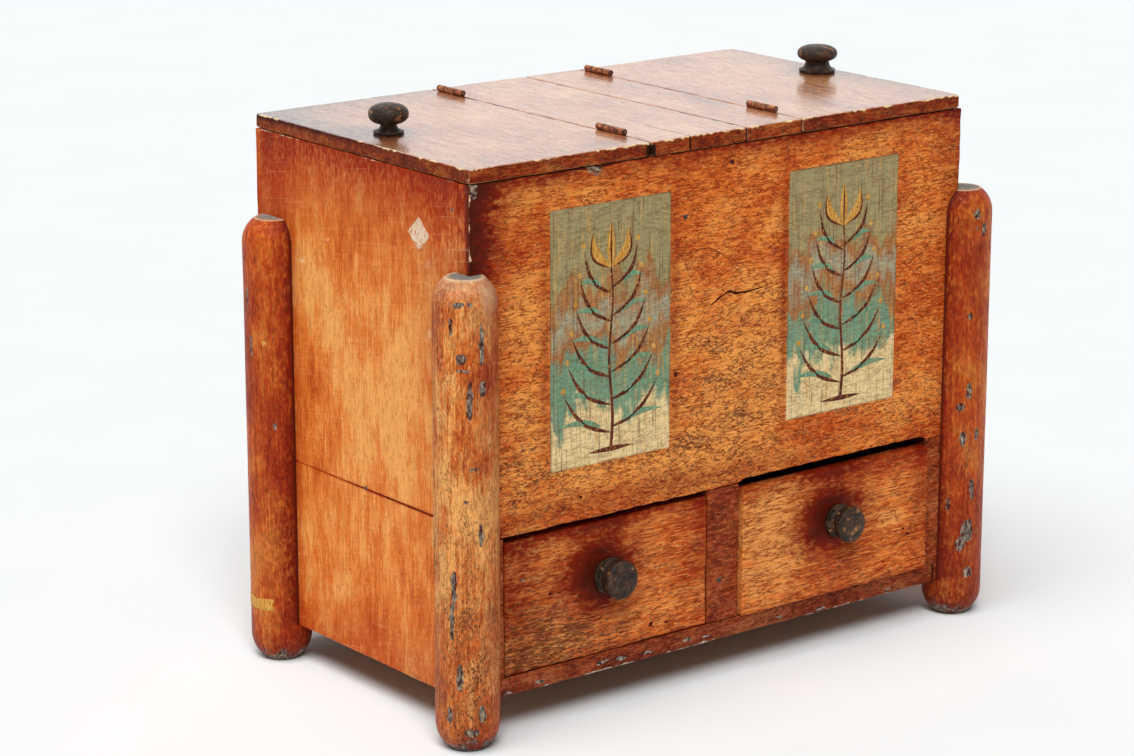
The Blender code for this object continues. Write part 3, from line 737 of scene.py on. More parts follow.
@dataclass(frozen=True)
class PanelPaint:
    """Distemper ground of a painted front panel: pale foot, green middle and grey-green head, crackled."""

    name: str
    foot_z: float
    head_z: float
    crackle: AgedPaint  # the paint below, whose cracks come through
    pale: str = "#F0D49C"
    green: str = "#769C7E"
    grey: str = "#A8A88C"
    brown: str = "#AE6E3A"
    sage: str = "#A2966A"
    dirt: str = "#5A2C14"

    @cache
    def material(self) -> Material:
        """Build the finish: colour by height, its borders shifted by noise, then brush lines and cracks.

        Returns:
            The new material.
        """
        tree = Tree(bpy.data.materials.new(self.name))
        add = tree.add
        edge = add("Attribute", {"attribute_name": "edge"}, out="Fac")
        height = add("SeparateXYZ", None, tree.place, "Z")
        height = add("MapRange", {"From Min": self.foot_z, "From Max": self.head_z}, height)
        drift = tree.figure(Grain.UP, 60.0, 26.0, 4.0)
        height = add("Math", {"operation": "MULTIPLY_ADD", 1: 0.6}, {0: drift, 2: height})
        stops = (
            (0.5, self.pale), (0.55, self.green), (0.68, self.green), (0.76, self.brown), (0.86, self.grey),
            (0.95, self.brown), (1.0, self.sage))
        colour = add("ValToRGB", {"stops": stops}, height, "Color")
        brush = tree.figure(Grain.UP, 60.0, 2.4, 3.0)
        for low, high, tint in ((0.55, 0.7, "#D9A25A"), (0.45, 0.3, "#7A4A28")):
            streak = add("MapRange", {"From Min": low, "From Max": high, "To Max": 0.7}, brush)
            colour = add("Mix", {"data_type": "RGBA", 7: linear(tint)}, {"Factor": streak, 6: colour}, 2)
        line = self.crackle.crackle(tree)
        soil = add("Math", {"operation": "MULTIPLY", 1: 0.55}, line)
        rim = add("MapRange", {"From Max": 2.6, "To Min": 0.85, "To Max": 0.0}, edge)
        ragged = add("MapRange", {"From Min": 0.36, "From Max": 0.58}, drift)
        rim = add("Math", {"operation": "MULTIPLY"}, {0: rim, 1: ragged})
        soil = add("Math", {"operation": "MAXIMUM", "use_clamp": True}, {0: soil, 1: rim})
        colour = add("Mix", {"data_type": "RGBA", 7: linear(self.dirt)}, {"Factor": soil, 6: colour}, 2)
        rough = add("MapRange", {"To Min": 0.45, "To Max": 0.7}, brush)
        relief = add("Math", {"operation": "MULTIPLY_ADD", 1: -0.5}, {0: line, 2: brush})
        bump = add("Bump", {"Strength": 0.5, "Distance": 0.4 * MM}, {"Height": relief})
        shader = add(
            "BsdfPrincipled", {"Specular IOR Level": 0.1, "IOR": 1.5},
            {"Base Color": colour, "Roughness": rough, "Normal": bump})
        tree.add("OutputMaterial", links={"Surface": shader})
        return tree.owner


@dataclass(frozen=True)
class StrokePaint:
    """Thick brush strokes of oil colour: they dry ridged, and small flakes show the ground."""

    name: str
    body: str
    thin: str
    flake: str = "#C08A4A"
    flake_level: float = 0.6  # less flakes more

    @cache
    def material(self) -> Material:
        """Build the finish from ridges 1.5 mm wide and flakes of 2 mm.

        Returns:
            The new material.
        """
        tree = Tree(bpy.data.materials.new(self.name))
        ridge = tree.figure(Grain.UP, 18.0, 1.5, 2.0)
        stops = ((0.42, self.body), (0.66, self.thin))
        colour = tree.add("ValToRGB", {"stops": stops}, ridge, "Color")
        speck = tree.figure(Grain.UP, 3.0, 2.0, 3.0)
        level = self.flake_level
        loss = tree.add("MapRange", {"From Min": level, "From Max": level + 0.05}, speck)
        colour = tree.add("Mix", {"data_type": "RGBA", 7: linear(self.flake)}, {"Factor": loss, 6: colour}, 2)
        rough = tree.add("MapRange", {"To Min": 0.35, "To Max": 0.6}, speck)
        bump = tree.add("Bump", {"Strength": 0.3, "Distance": 0.2 * MM}, {"Height": ridge})
        shader = tree.add(
            "BsdfPrincipled", {"Specular IOR Level": 0.1, "IOR": 1.5},
            {"Base Color": colour, "Roughness": rough, "Normal": bump})
        tree.add("OutputMaterial", links={"Surface": shader})
        return tree.owner


FRONT_PAINT = AgedPaint(
    "crackled_amber_paint", "#BA4412", "#E2722A", "#F8A04C", "#4A1406", "#861A02", "#862204", bare="#ECC090",
    spread=0.1, mottle_share=0.18, crackle_share=1.0, crackle_width=0.055, fleck_mm=(5.0, 1.7),
    fleck_share=0.65, hatch_level=0.66, hatch_share=0.72, wear_from=0.56)
DRAWER_PAINT = replace(
    FRONT_PAINT, name="handled_amber_paint", body="#E67A32", light="#FAA858",
    brush_mm=(110.0, 2.6), brush_share=0.5, crackle_mm=(38.0, 4.2), fleck_mm=(11.0, 1.8),
    hatch_mm=(11.0, 2.0), hatch_level=0.67, hatch_turns=((0, 5, 0), (0, -7, 0)))
TRIM_PAINT = AgedPaint(
    "chipped_dark_red_paint", "#5E1709", "#9A3C1A", "#C26C3E", "#1A0906", "#46130A", "#4A1408",
    bare="#D8C8B4", chip="#A89C90", fleck_share=0.6, glint_share=0.12, hatch_level=0.67,
    wear_mm=1.2)
SIDE_PAINT = AgedPaint(
    "brushed_orange_red_paint", "#C04A10", "#EA7E32", "#FAB060", "#5A1E0C", "#A82A06", "#B04410",
    bare="#F2CDA8", grain=Grain.UP, spread=0.1, cloud_mm=130.0, brush_mm=(70.0, 2.2), brush_share=0.34,
    mottle_mm=(40.0, 12.0), mottle_share=0.3, cross_share=0.08, crackle_mm=(22.0, 3.4), crackle_share=0.6,
    fleck_share=0.3, glint_share=0.2, hatch_mm=(7.0, 2.0), hatch_level=0.8, hatch_turns=((20, 0, 0),),
    scratch_level=0.65, scratch_share=0.2, scratch_mm=(110.0, 1.2), scratch_turn=(9, 0, 0),
    scratch_grain=Grain.DEEP, wear_mm=0.6, roughness=0.42, shine=0.05, relief=0.35)
EDGE_PAINT = AgedPaint(
    "worn_red_brown_edge_paint", "#581406", "#94300D", "#C06A2E", "#200B05", "#541608", "#4A1608",
    bare="#E8C48C", hatch_level=0.67, fleck_share=0.55, glint_share=0.12, wear_mm=1.5, wear_from=0.43)
POST_PAINT = AgedPaint(
    "chipped_ochre_paint", "#983408", "#DA7026", "#F8B264", "#4A1406", "#9C2C06", "#641E08",
    bare="#E6C298", raw=("#6E6862", "#9A938A"), chip="#766C62", grain=Grain.UP, spread=0.09, cloud_mm=70.0,
    brush_mm=(50.0, 2.6), brush_share=0.4, mottle_mm=(9.0, 5.0), mottle_share=0.18, crackle_mm=(18.0, 3.4),
    crackle_share=0.65, fleck_mm=(6.0, 1.8), fleck_share=0.5, hatch_mm=(7.5, 1.9), hatch_level=0.66,
    hatch_share=0.8, hatch_turns=((24, 0, 0), (0, -30, 0), (-12, 14, 0)),
    scratch_level=0.82, scratch_grain=Grain.UP, wear_mm=1.1, roughness=0.42, shine=0.14)
RED_POST_PAINT = replace(
    POST_PAINT, name="streaked_red_ochre_paint", deep="#962A06", body="#CE5414", light="#F09038",
    soot_and_shade="#7E1E06", cloud_mm=90.0, brush_mm=(55.0, 3.2), brush_share=0.35, mottle_share=0.22,
    crackle_share=0.5, fleck_share=0.35, hatch_level=0.69)
TOP_VARNISH = AgedPaint(
    "worn_brown_varnish", "#90481F", "#D08450", "#EEB07C", "#3A1A0E", "#5E2C16", "#6A3014",
    bare="#ECCFA0", grain=Grain.DEEP, spread=0.1, cloud_mm=120.0, brush_mm=(120.0, 3.4), brush_share=0.55,
    mottle_mm=(30.0, 9.0), mottle_share=0.3, crackle_mm=(60.0, 5.0), crackle_share=0.5, fleck_share=0.15,
    glint_share=0.0, hatch_mm=(10.0, 2.6), hatch_level=0.68,
    hatch_turns=((0, 0, 14), (0, 0, -50)), scratch_level=0.79, scratch_grain=Grain.DEEP,
    wear_mm=1.4, wear_from=0.45, roughness=0.26, shine=0.8, coat=0.8, coat_roughness=0.14, relief=0.5)
KNOB_PAINT = AgedPaint(
    "worn_black_paint", "#120C09", "#2A1C14", "#543A2A", "#080504", "#140E0B", "#0C0806",
    bare="#B98A58", chip="#8A5A34", cloud_mm=20.0, brush_mm=(10.0, 2.0),
    crackle_share=0.4, fleck_share=0.35, glint="#9A7048", scratch_level=0.68,
    scratch_mm=(8.0, 2.0), wear_mm=1.0, roughness=0.34, shine=0.18)
PINE_WIDE = AgedPine("bare_pine_across", Grain.WIDE)
PINE_DEEP = AgedPine("bare_pine_front_to_back", Grain.DEEP)
HINGE_IRON = RustedIron("rusted_hinge_iron")
SCREW_STEEL = RustedIron("dull_screw_steel", "#4A443E", "#7C7770", "#9A8A78", 0.9)
NAIL_IRON = RustedIron("black_nail_iron", "#0C0807", "#2A1A14", "#6A5A4C", 0.3)
SPRIG_PAINTS = {
    "dark": StrokePaint("dark_brown_brush_stroke", "#451A12", "#7A3A20"),
    "green": StrokePaint("green_brush_stroke", "#5A8064", "#86AC88"),
    "ochre": StrokePaint("ochre_brush_stroke", "#C48632", "#DDAE5C", "#7A4A24"),
}
SCUFF_CREAM = StrokePaint("crackled_cream_scuff", "#E6BFA0", "#F0DCC4", "#C8743C", 0.56)


@dataclass(frozen=True)
class Stain:
    """A soft-edged patch of a mark: a bell of a given reach along x, y and z round its middle."""

    middle: Corner
    reach: Corner
    strength: float

    def at(self, points: Array) -> Array:
        """Strength at each place: the bell falls off by the squared distance in reaches."""
        away = (points - np.array(self.middle)) / np.array(self.reach)
        return self.strength * np.exp(-(away ** 2).sum(axis=1))


def stains_on(side: Side, level: float, skin: float, rows: Sequence[Sequence[float]]) -> tuple[Stain, ...]:
    """Lay stains on a face of the case.

    Args:
        side: The face.
        level: Its place on its own axis.
        skin: Reach of the stains along that axis.
        rows: Place on the other two axes, reach along them, and strength of each stain.

    Returns:
        The stains.
    """
    axis = side.value[0]
    return tuple(
        Stain(tuple(np.insert(row[:2], axis, level)), tuple(np.insert(row[2:4], axis, skin)), row[4])
        for row in rows)


def total(stains: Sequence[Stain], points: Array) -> Array:
    """Add up the strengths of stains at each place."""
    return sum((stain.at(points) for stain in stains), np.zeros(len(points)))


@dataclass(frozen=True)
class Relief:
    """A strip planed off a board's lower edge, with sloped ends."""

    start: float
    end: float
    slope: float
    rise: float
    fade: float = 0.03  # height over which the grid above is drawn up with the edge


@dataclass(frozen=True)
class Groove:
    """A crack in the front face: places along it in x and z, its half width and its depth."""

    path: tuple[Pair, ...]
    half: float
    depth: float

    def shell(self, surface: float) -> Shell:
        """Trace the crack: straight between its places, shaken by 1 mm, and closing at both ends.

        Args:
            surface: Front face in y.

        Returns:
            The shape to cut out.
        """
        knots = np.array(self.path)
        t = np.linspace(0.0, len(knots) - 1.0, 9 * (len(knots) - 1) + 1)
        path = np.stack([np.interp(t, np.arange(len(knots)), knots[:, axis]) for axis in (0, 1)], axis=1)
        at = np.stack((path[:, 0], np.zeros(len(t)), path[:, 1]), axis=1)
        path[:, 1] += 1.1 * MM * lattice_noise(at, 4.0 * MM, 2)
        swell = np.sin(np.pi * t / t[-1]) ** 0.6 * (0.6 + 0.4 * lattice_noise(at, 5.0 * MM, 8))
        return brush_stroke(path, 0.15 * MM + self.half * swell, surface, self.depth)


@dataclass
class WornBoard:
    """One plank of the case: a box whose arrises are worn round, more in some places than others."""

    node: str
    body: str
    slot: str
    finish: AgedPaint
    raw_sides: tuple[Side, ...] = ()
    kept_sides: tuple[Side, ...] = ()  # their arrises keep their paint
    band: AgedPaint | None = None  # finish of the board's edges
    band_sides: tuple[Side, ...] = ()
    arris: float = 1.6 * MM
    wander: float = 0.7  # spread of the arris radius, as a share
    bruise: float = 3.2 * MM  # extra radius where the arris is knocked off
    hollow: float = 0.25 * MM  # depth of the waves left by planing
    spacing: float = 6.0 * MM
    edge_grime: float = 0.5
    grime_reach: float = 18.0  # mm from an arris
    stains: tuple[Stain, ...] = ()
    pale_spots: tuple[Stain, ...] = ()
    faded: tuple[Stain, ...] = ()  # paint lighter: dust, and painted sheen
    knocks: tuple[Stain, ...] = ()  # chips on an arris; the strength is their extra radius
    hatches: tuple[Stain, ...] = ()
    scars: tuple[Stain, ...] = ()  # paint gone to the dark ground coat
    chips: tuple[Stain, ...] = ()  # paint gone to a grey or pale ground
    relief: Relief | None = None
    cuts: tuple[Cut, ...] = ()
    grooves: tuple[Groove, ...] = ()
    seed: int = 1

    def lines(self, low: float, high: float) -> Array:
        """Place the grid's lines along one axis, close together where the arris turns.

        Args:
            low: Low end of the board.
            high: High end of the board.

        Returns:
            Sorted places from end to end.
        """
        near = np.array((0.0, 0.35, 0.7, 1.1, 1.6, 2.2, 3.0, 4.2)) * MM
        near = near[near < (high - low) * 0.4]
        middle = np.linspace(low + near[-1], high - near[-1], max(2, int((high - low) / self.spacing)))
        return np.unique(np.concatenate((low + near, middle, high - near)).round(7))

    def arris_radius(self, points: Array, limit: float) -> Array:
        """Radius of the worn arris: its mean, a wander over 14 mm, knocks of about 30 mm and chips.

        Args:
            points: Places on the plain box.
            limit: Largest radius that the board's thickness allows.

        Returns:
            One radius for each place.
        """
        wander = lattice_noise(points, 14.0 * MM, self.seed)
        knock = np.maximum(lattice_noise(points, 27.0 * MM, self.seed + 5) - 0.35, 0.0) / 0.65
        radius = self.arris * (1.0 + self.wander * wander) + self.bruise * knock ** 2
        return np.clip(radius + total(self.knocks, points), 0.3 * MM, limit)

    def shape(self, low: Array, high: Array) -> Shell:
        """Lay the box's grid, wear its arrises round and plane its faces slightly hollow.

        Each point goes to the nearest place of the box shrunk by the local radius, and back out from
        there by that radius. Waves then sink it by a part of a millimetre.

        Args:
            low: Lowest corner.
            high: Highest corner.

        Returns:
            The closed shell.
        """
        shell = box_shell([self.lines(*span) for span in zip(low, high)])
        plain = shell.points
        radius = self.arris_radius(plain, 0.45 * (high - low).min())[:, None]
        core = np.clip(plain, low + radius, high - radius)
        away = plain - core
        away /= np.linalg.norm(away, axis=1)[:, None]
        wave = 0.5 + 0.5 * lattice_noise(plain, 55.0 * MM, self.seed + 9)
        shell.points = core + away * (radius - self.hollow * wave[:, None])
        if self.relief:
            cut = self.relief
            x, z = plain[:, 0], plain[:, 2]
            ramp = np.clip(np.minimum(x - cut.start, cut.end - x) / cut.slope, 0.0, 1.0)
            shell.points[:, 2] += cut.rise * ramp * np.clip(1.0 - (z - low[2]) / cut.fade, 0.0, 1.0)
        return shell

    def marks(self, points: Array, low: Array, high: Array) -> dict[str, Array]:
        """Work out the board's wear, dirt and painted shade at each vertex.

        The edge distance is the second smallest gap to the box's planes: the smallest is to the face
        that the vertex lies on.

        Args:
            points: The vertices.
            low: Lowest corner.
            high: Highest corner.

        Returns:
            The marks by name.
        """
        gaps = [points - low, high - points]
        depth = gaps[0][:, 1].copy()
        for side in self.kept_sides:
            axis, end = side.value
            gaps[end][:, axis] = NO_ARRIS * MM
        edge = np.sort(np.minimum(*gaps), axis=1)[:, 1] / MM
        # Darker near the arrises and under the stains: dirt, and painted shade where stains lie beside the
        # posts, under the lid or round a knob.
        grime = self.edge_grime * np.exp(-edge / self.grime_reach) + total(self.stains, points)
        streak = np.full(3, 6.0 * MM)
        streak[self.finish.grain.value] = 30.0 * MM
        grime = grime * (1.0 + 0.22 * lattice_noise(points, streak, self.seed + 2))
        chip = total(self.knocks, points) / (3.0 * MM) + total(self.chips, points)
        raw = np.zeros(len(points))
        for side in self.raw_sides:
            axis, end = side.value
            gap = high[axis] - points[:, axis] if end else points[:, axis] - low[axis]
            raw = np.maximum(raw, (gap < 0.6 * MM) & (edge > 0.8))
        scar = total(self.scars, points)
        if self.grooves:
            scar[(depth > self.hollow + 0.03 * MM) & (depth < 4.0 * MM) & (edge > 8.0)] = TORN
        for cut in self.cuts:
            if cut.taper < 1.0:
                inside = (points > np.array(cut.low) - 0.1 * MM) & (points < np.array(cut.high) + 0.1 * MM)
                scar[inside.all(axis=1)] = TORN
        return {
            "edge": np.minimum(edge, NO_ARRIS), "grime": np.clip(grime, 0.0, 2.0), "raw": raw, "scar": scar,
            "chip": np.clip(chip, 0.0, 1.0), "pale": total(self.pale_spots, points),
            "hatch": total(self.hatches, points), "faded": total(self.faded, points)}

    def build(self) -> None:
        """Build the plank in place of its solid, mark its wear and painted shade, and dress it."""
        low, high = np.array(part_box(self.node))
        obj = mesh_object(f"{self.node}_worn", [self.shape(low, high)])
        away = [cut.shell() for cut in self.cuts] + [groove.shell(low[1]) for groove in self.grooves]
        if away:
            carve(obj, away)
        mark(obj, **self.marks(vertex_points(obj), low, high))
        settle(obj, self.finish.material(), self.body, self.slot, self.node)
        if self.band:
            obj.data.materials.append(self.band.material())
            normals = np.empty(len(obj.data.polygons) * 3, dtype=np.float32)
            obj.data.polygons.foreach_get("normal", normals)
            facing = normals.reshape(-1, 3)
            choice = np.zeros(len(facing), dtype=bool)
            for side in self.band_sides:
                axis, end = side.value
                choice |= facing[:, axis] * (1.0 if end else -1.0) > 0.75
            obj.data.polygons.foreach_set("material_index", choice.astype(np.int32))


@dataclass
class Case:
    """The plank case: front board, drawer frame, sides of two boards each and back."""

    front_y: float = -0.195
    left_x: float = -0.379
    right_x: float = 0.367
    relief: Relief = Relief(0.0164, 0.3221, 8.0 * MM, 4.0 * MM)
    rail_chips: tuple[Corner, ...] = (  # place in x and z, and reach in x
        (-0.33, 0.052, 0.01), (-0.2827, 0.055, 0.008), (-0.1915, 0.058, 0.012), (-0.1615, 0.057, 0.007),
        (-0.1237, 0.055, 0.01), (-0.0623, 0.058, 0.009), (-0.0327, 0.056, 0.006), (0.0851, 0.055, 0.007),
        (0.15, 0.052, 0.008), (0.265, 0.053, 0.007))

    def on_front(self, *rows: Sequence[float], skin: float = SKIN) -> tuple[Stain, ...]:
        """Lay stains on the front: place in x and z, reach in x and z, and strength of each."""
        return stains_on(Side.FRONT, self.front_y, skin, rows)

    def front(self) -> WornBoard:
        """Describe the front board: dark towards its left end, cracked, and chipped under the lid.

        Returns:
            The board, ready to build.
        """
        # Darker at both ends beside the posts and in a band under the lid, dirt together with painted shade;
        # dark strips beside the panels; darker along the foot.
        stains = self.on_front(
            (-0.379, 0.62, 0.062, 0.105, 1.0), (-0.379, 0.43, 0.03, 0.3, 0.9),
            (0.0, 0.655, 2.0, 0.02, 1.15), (0.367, 0.45, 0.026, 0.35, 0.8), (0.083, 0.47, 0.007, 0.15, 0.9),
            (-0.085, 0.46, 0.009, 0.16, 0.6), (-0.275, 0.47, 0.007, 0.16, 0.6),
            (-0.1, 0.256, 0.22, 0.016, 0.7), (-0.36, 0.244, 0.06, 0.014, 0.7))
        end_stains = stains_on(
            Side.LEFT, self.left_x, 4.0 * MM,
            ((-0.184, 0.66, 0.03, 0.075, 0.8), (-0.184, 0.54, 0.03, 0.13, 0.3)))
        knocks = self.on_front(
            (-0.25, 0.649, 0.006, 0.02, 1.4 * MM), (-0.203, 0.649, 0.022, 0.02, 2.0 * MM),
            (-0.372, 0.649, 0.006, 0.02, 3.0 * MM), skin=0.02)
        hatches = self.on_front(
            (0.01, 0.39, 0.085, 0.09, 0.45), (-0.05, 0.3, 0.16, 0.06, 0.4), (-0.365, 0.45, 0.022, 0.3, 0.9),
            (-0.3, 0.28, 0.07, 0.07, 0.55), (0.3, 0.29, 0.1, 0.04, 0.5), (0.01, 0.6, 0.3, 0.07, -0.5))
        scars = self.on_front(
            (-0.378, 0.622, 0.004, 0.01, 0.95), (-0.378, 0.59, 0.004, 0.018, 0.95),
            (-0.378, 0.552, 0.006, 0.016, 1.0), (-0.001, 0.628, 0.005, 0.004, 1.5),
            (-0.083, 0.388, 0.005, 0.005, 1.3), (-0.223, 0.265, 0.005, 0.005, 1.2),
            (0.017, 0.265, 0.005, 0.004, 1.2), (0.0, 0.468, 0.05, 0.006, 0.75))
        # Lighter patches: dust, and painted sheen.
        faded = self.on_front(
            (0.02, 0.37, 0.085, 0.09, 1.0), (-0.12, 0.28, 0.14, 0.035, 0.85), (-0.31, 0.42, 0.03, 0.15, 0.3))
        hair = ((-0.0713, 0.5263), (-0.0584, 0.529), (-0.047, 0.5314), (-0.0325, 0.531), (-0.0237, 0.5269),
                (-0.0148, 0.5211), (-0.006, 0.5141))
        check = ((-0.0367, 0.4541), (-0.0307, 0.4616), (-0.0171, 0.4703), (-0.0049, 0.4744), (0.009, 0.4712),
                 (0.0245, 0.47), (0.0385, 0.4716), (0.0525, 0.4724))
        turns = np.radians(np.linspace(-70.0, 255.0, 15))
        knot = tuple((-0.001 + 0.0125 * math.cos(turn), 0.628 + 0.0075 * math.sin(turn)) for turn in turns)
        return WornBoard(
            "front_board", "case", "front_paint", FRONT_PAINT, (Side.BACK,),
            (Side.RIGHT, Side.UPPER, Side.UNDER), SIDE_PAINT, (Side.LEFT, Side.RIGHT),
            stains=stains + end_stains, faded=faded, knocks=knocks, hatches=hatches, scars=scars,
            relief=self.relief, spacing=4.0 * MM, seed=3,
            grooves=(
                Groove(hair, 0.8 * MM, 0.9 * MM), Groove(check, 2.1 * MM, 1.6 * MM),
                Groove(knot, 0.5 * MM, 0.5 * MM)))

    def side(self, hand: str, part: str) -> WornBoard:
        """Describe one board of a side: painted shade beside both posts, darker under the top, and lighter
        low in the middle for dust and painted sheen.

        Args:
            hand: left or right.
            part: upper or lower.

        Returns:
            The board, ready to build.
        """
        x, inside = (self.left_x, Side.RIGHT) if hand == "left" else (self.right_x, Side.LEFT)
        # Painted shade beside the front and back posts; darker under the top, at the back corner and along
        # the foot; a dark seam between the boards. The lighter patches are dust and painted sheen; the pale
        # spots are worn.
        stains, pale_spots, faded = (stains_on(Side.LEFT, x, 1.0, rows) for rows in (
            ((-0.15, 0.54, 0.06, 0.13, 0.5), (0.04, 0.66, 0.4, 0.075, 1.1), (0.158, 0.33, 0.014, 0.25, 0.8),
             (0.205, 0.6, 0.03, 0.06, 0.5), (-0.05, 0.048, 0.3, 0.06, 0.55),
             (-0.08, 0.255, 0.18, 1.6 * MM, 2.0)),
            ((0.1358, 0.506, 0.01, 0.003, 0.8), (-0.117, 0.547, 0.008, 0.008, 0.45),
             (-0.118, 0.467, 0.004, 0.008, 0.7), (0.0826, 0.54, 0.003, 0.003, 0.9)),
            ((-0.02, 0.35, 0.13, 0.12, 0.55), (0.06, 0.48, 0.06, 0.1, 0.12))))
        seam = Side.UNDER if part == "upper" else Side.UPPER
        return WornBoard(
            f"{hand}_side_{part}_board", "case", "side_paint", SIDE_PAINT, (inside,),
            (seam, Side.FRONT, Side.BACK), stains=stains, pale_spots=pale_spots, faded=faded, edge_grime=0.2,
            arris=1.0 * MM, bruise=1.6 * MM, spacing=5.0 * MM, seed=20 + len(part))

    def build(self) -> None:
        """Build every plank that shows from outside."""
        boards = [
            self.front(),
            WornBoard(
                "bottom_rail", "case", "trim_paint", TRIM_PAINT, (Side.BACK,), (Side.UPPER,),
                cuts=(Cut((0.3394, -0.2, 0.04), (0.341, -0.178, 0.08), 0.98),), edge_grime=0.55,
                chips=self.on_front(*((x, z, 1.6 * wide, 3.6 * MM, 0.74) for x, z, wide in self.rail_chips)),
                scars=self.on_front((0.208, 0.07, 0.009, 0.004, 1.3), skin=0.01), spacing=4.0 * MM, seed=11),
        ]
        for index, name in enumerate(("left_stile", "centre_stile", "right_stile")):
            boards.append(WornBoard(
                name, "case", "trim_paint", TRIM_PAINT, (Side.BACK,), tuple(Side), edge_grime=0.7,
                grime_reach=6.0, seed=13 + index))
        boards += [self.side(hand, part) for hand in ("left", "right") for part in ("upper", "lower")]
        rows = [(x, 0.5, 0.012, 0.4, 1.0) for x in (self.left_x, self.right_x)]
        ends = stains_on(Side.BACK, 0.225, 0.1, rows)
        for part in ("upper", "lower"):
            boards.append(WornBoard(
                f"back_{part}_board", "case", "side_paint", SIDE_PAINT, (Side.FRONT,), tuple(Side),
                stains=ends, seed=31))
        for board in boards:
            board.build()


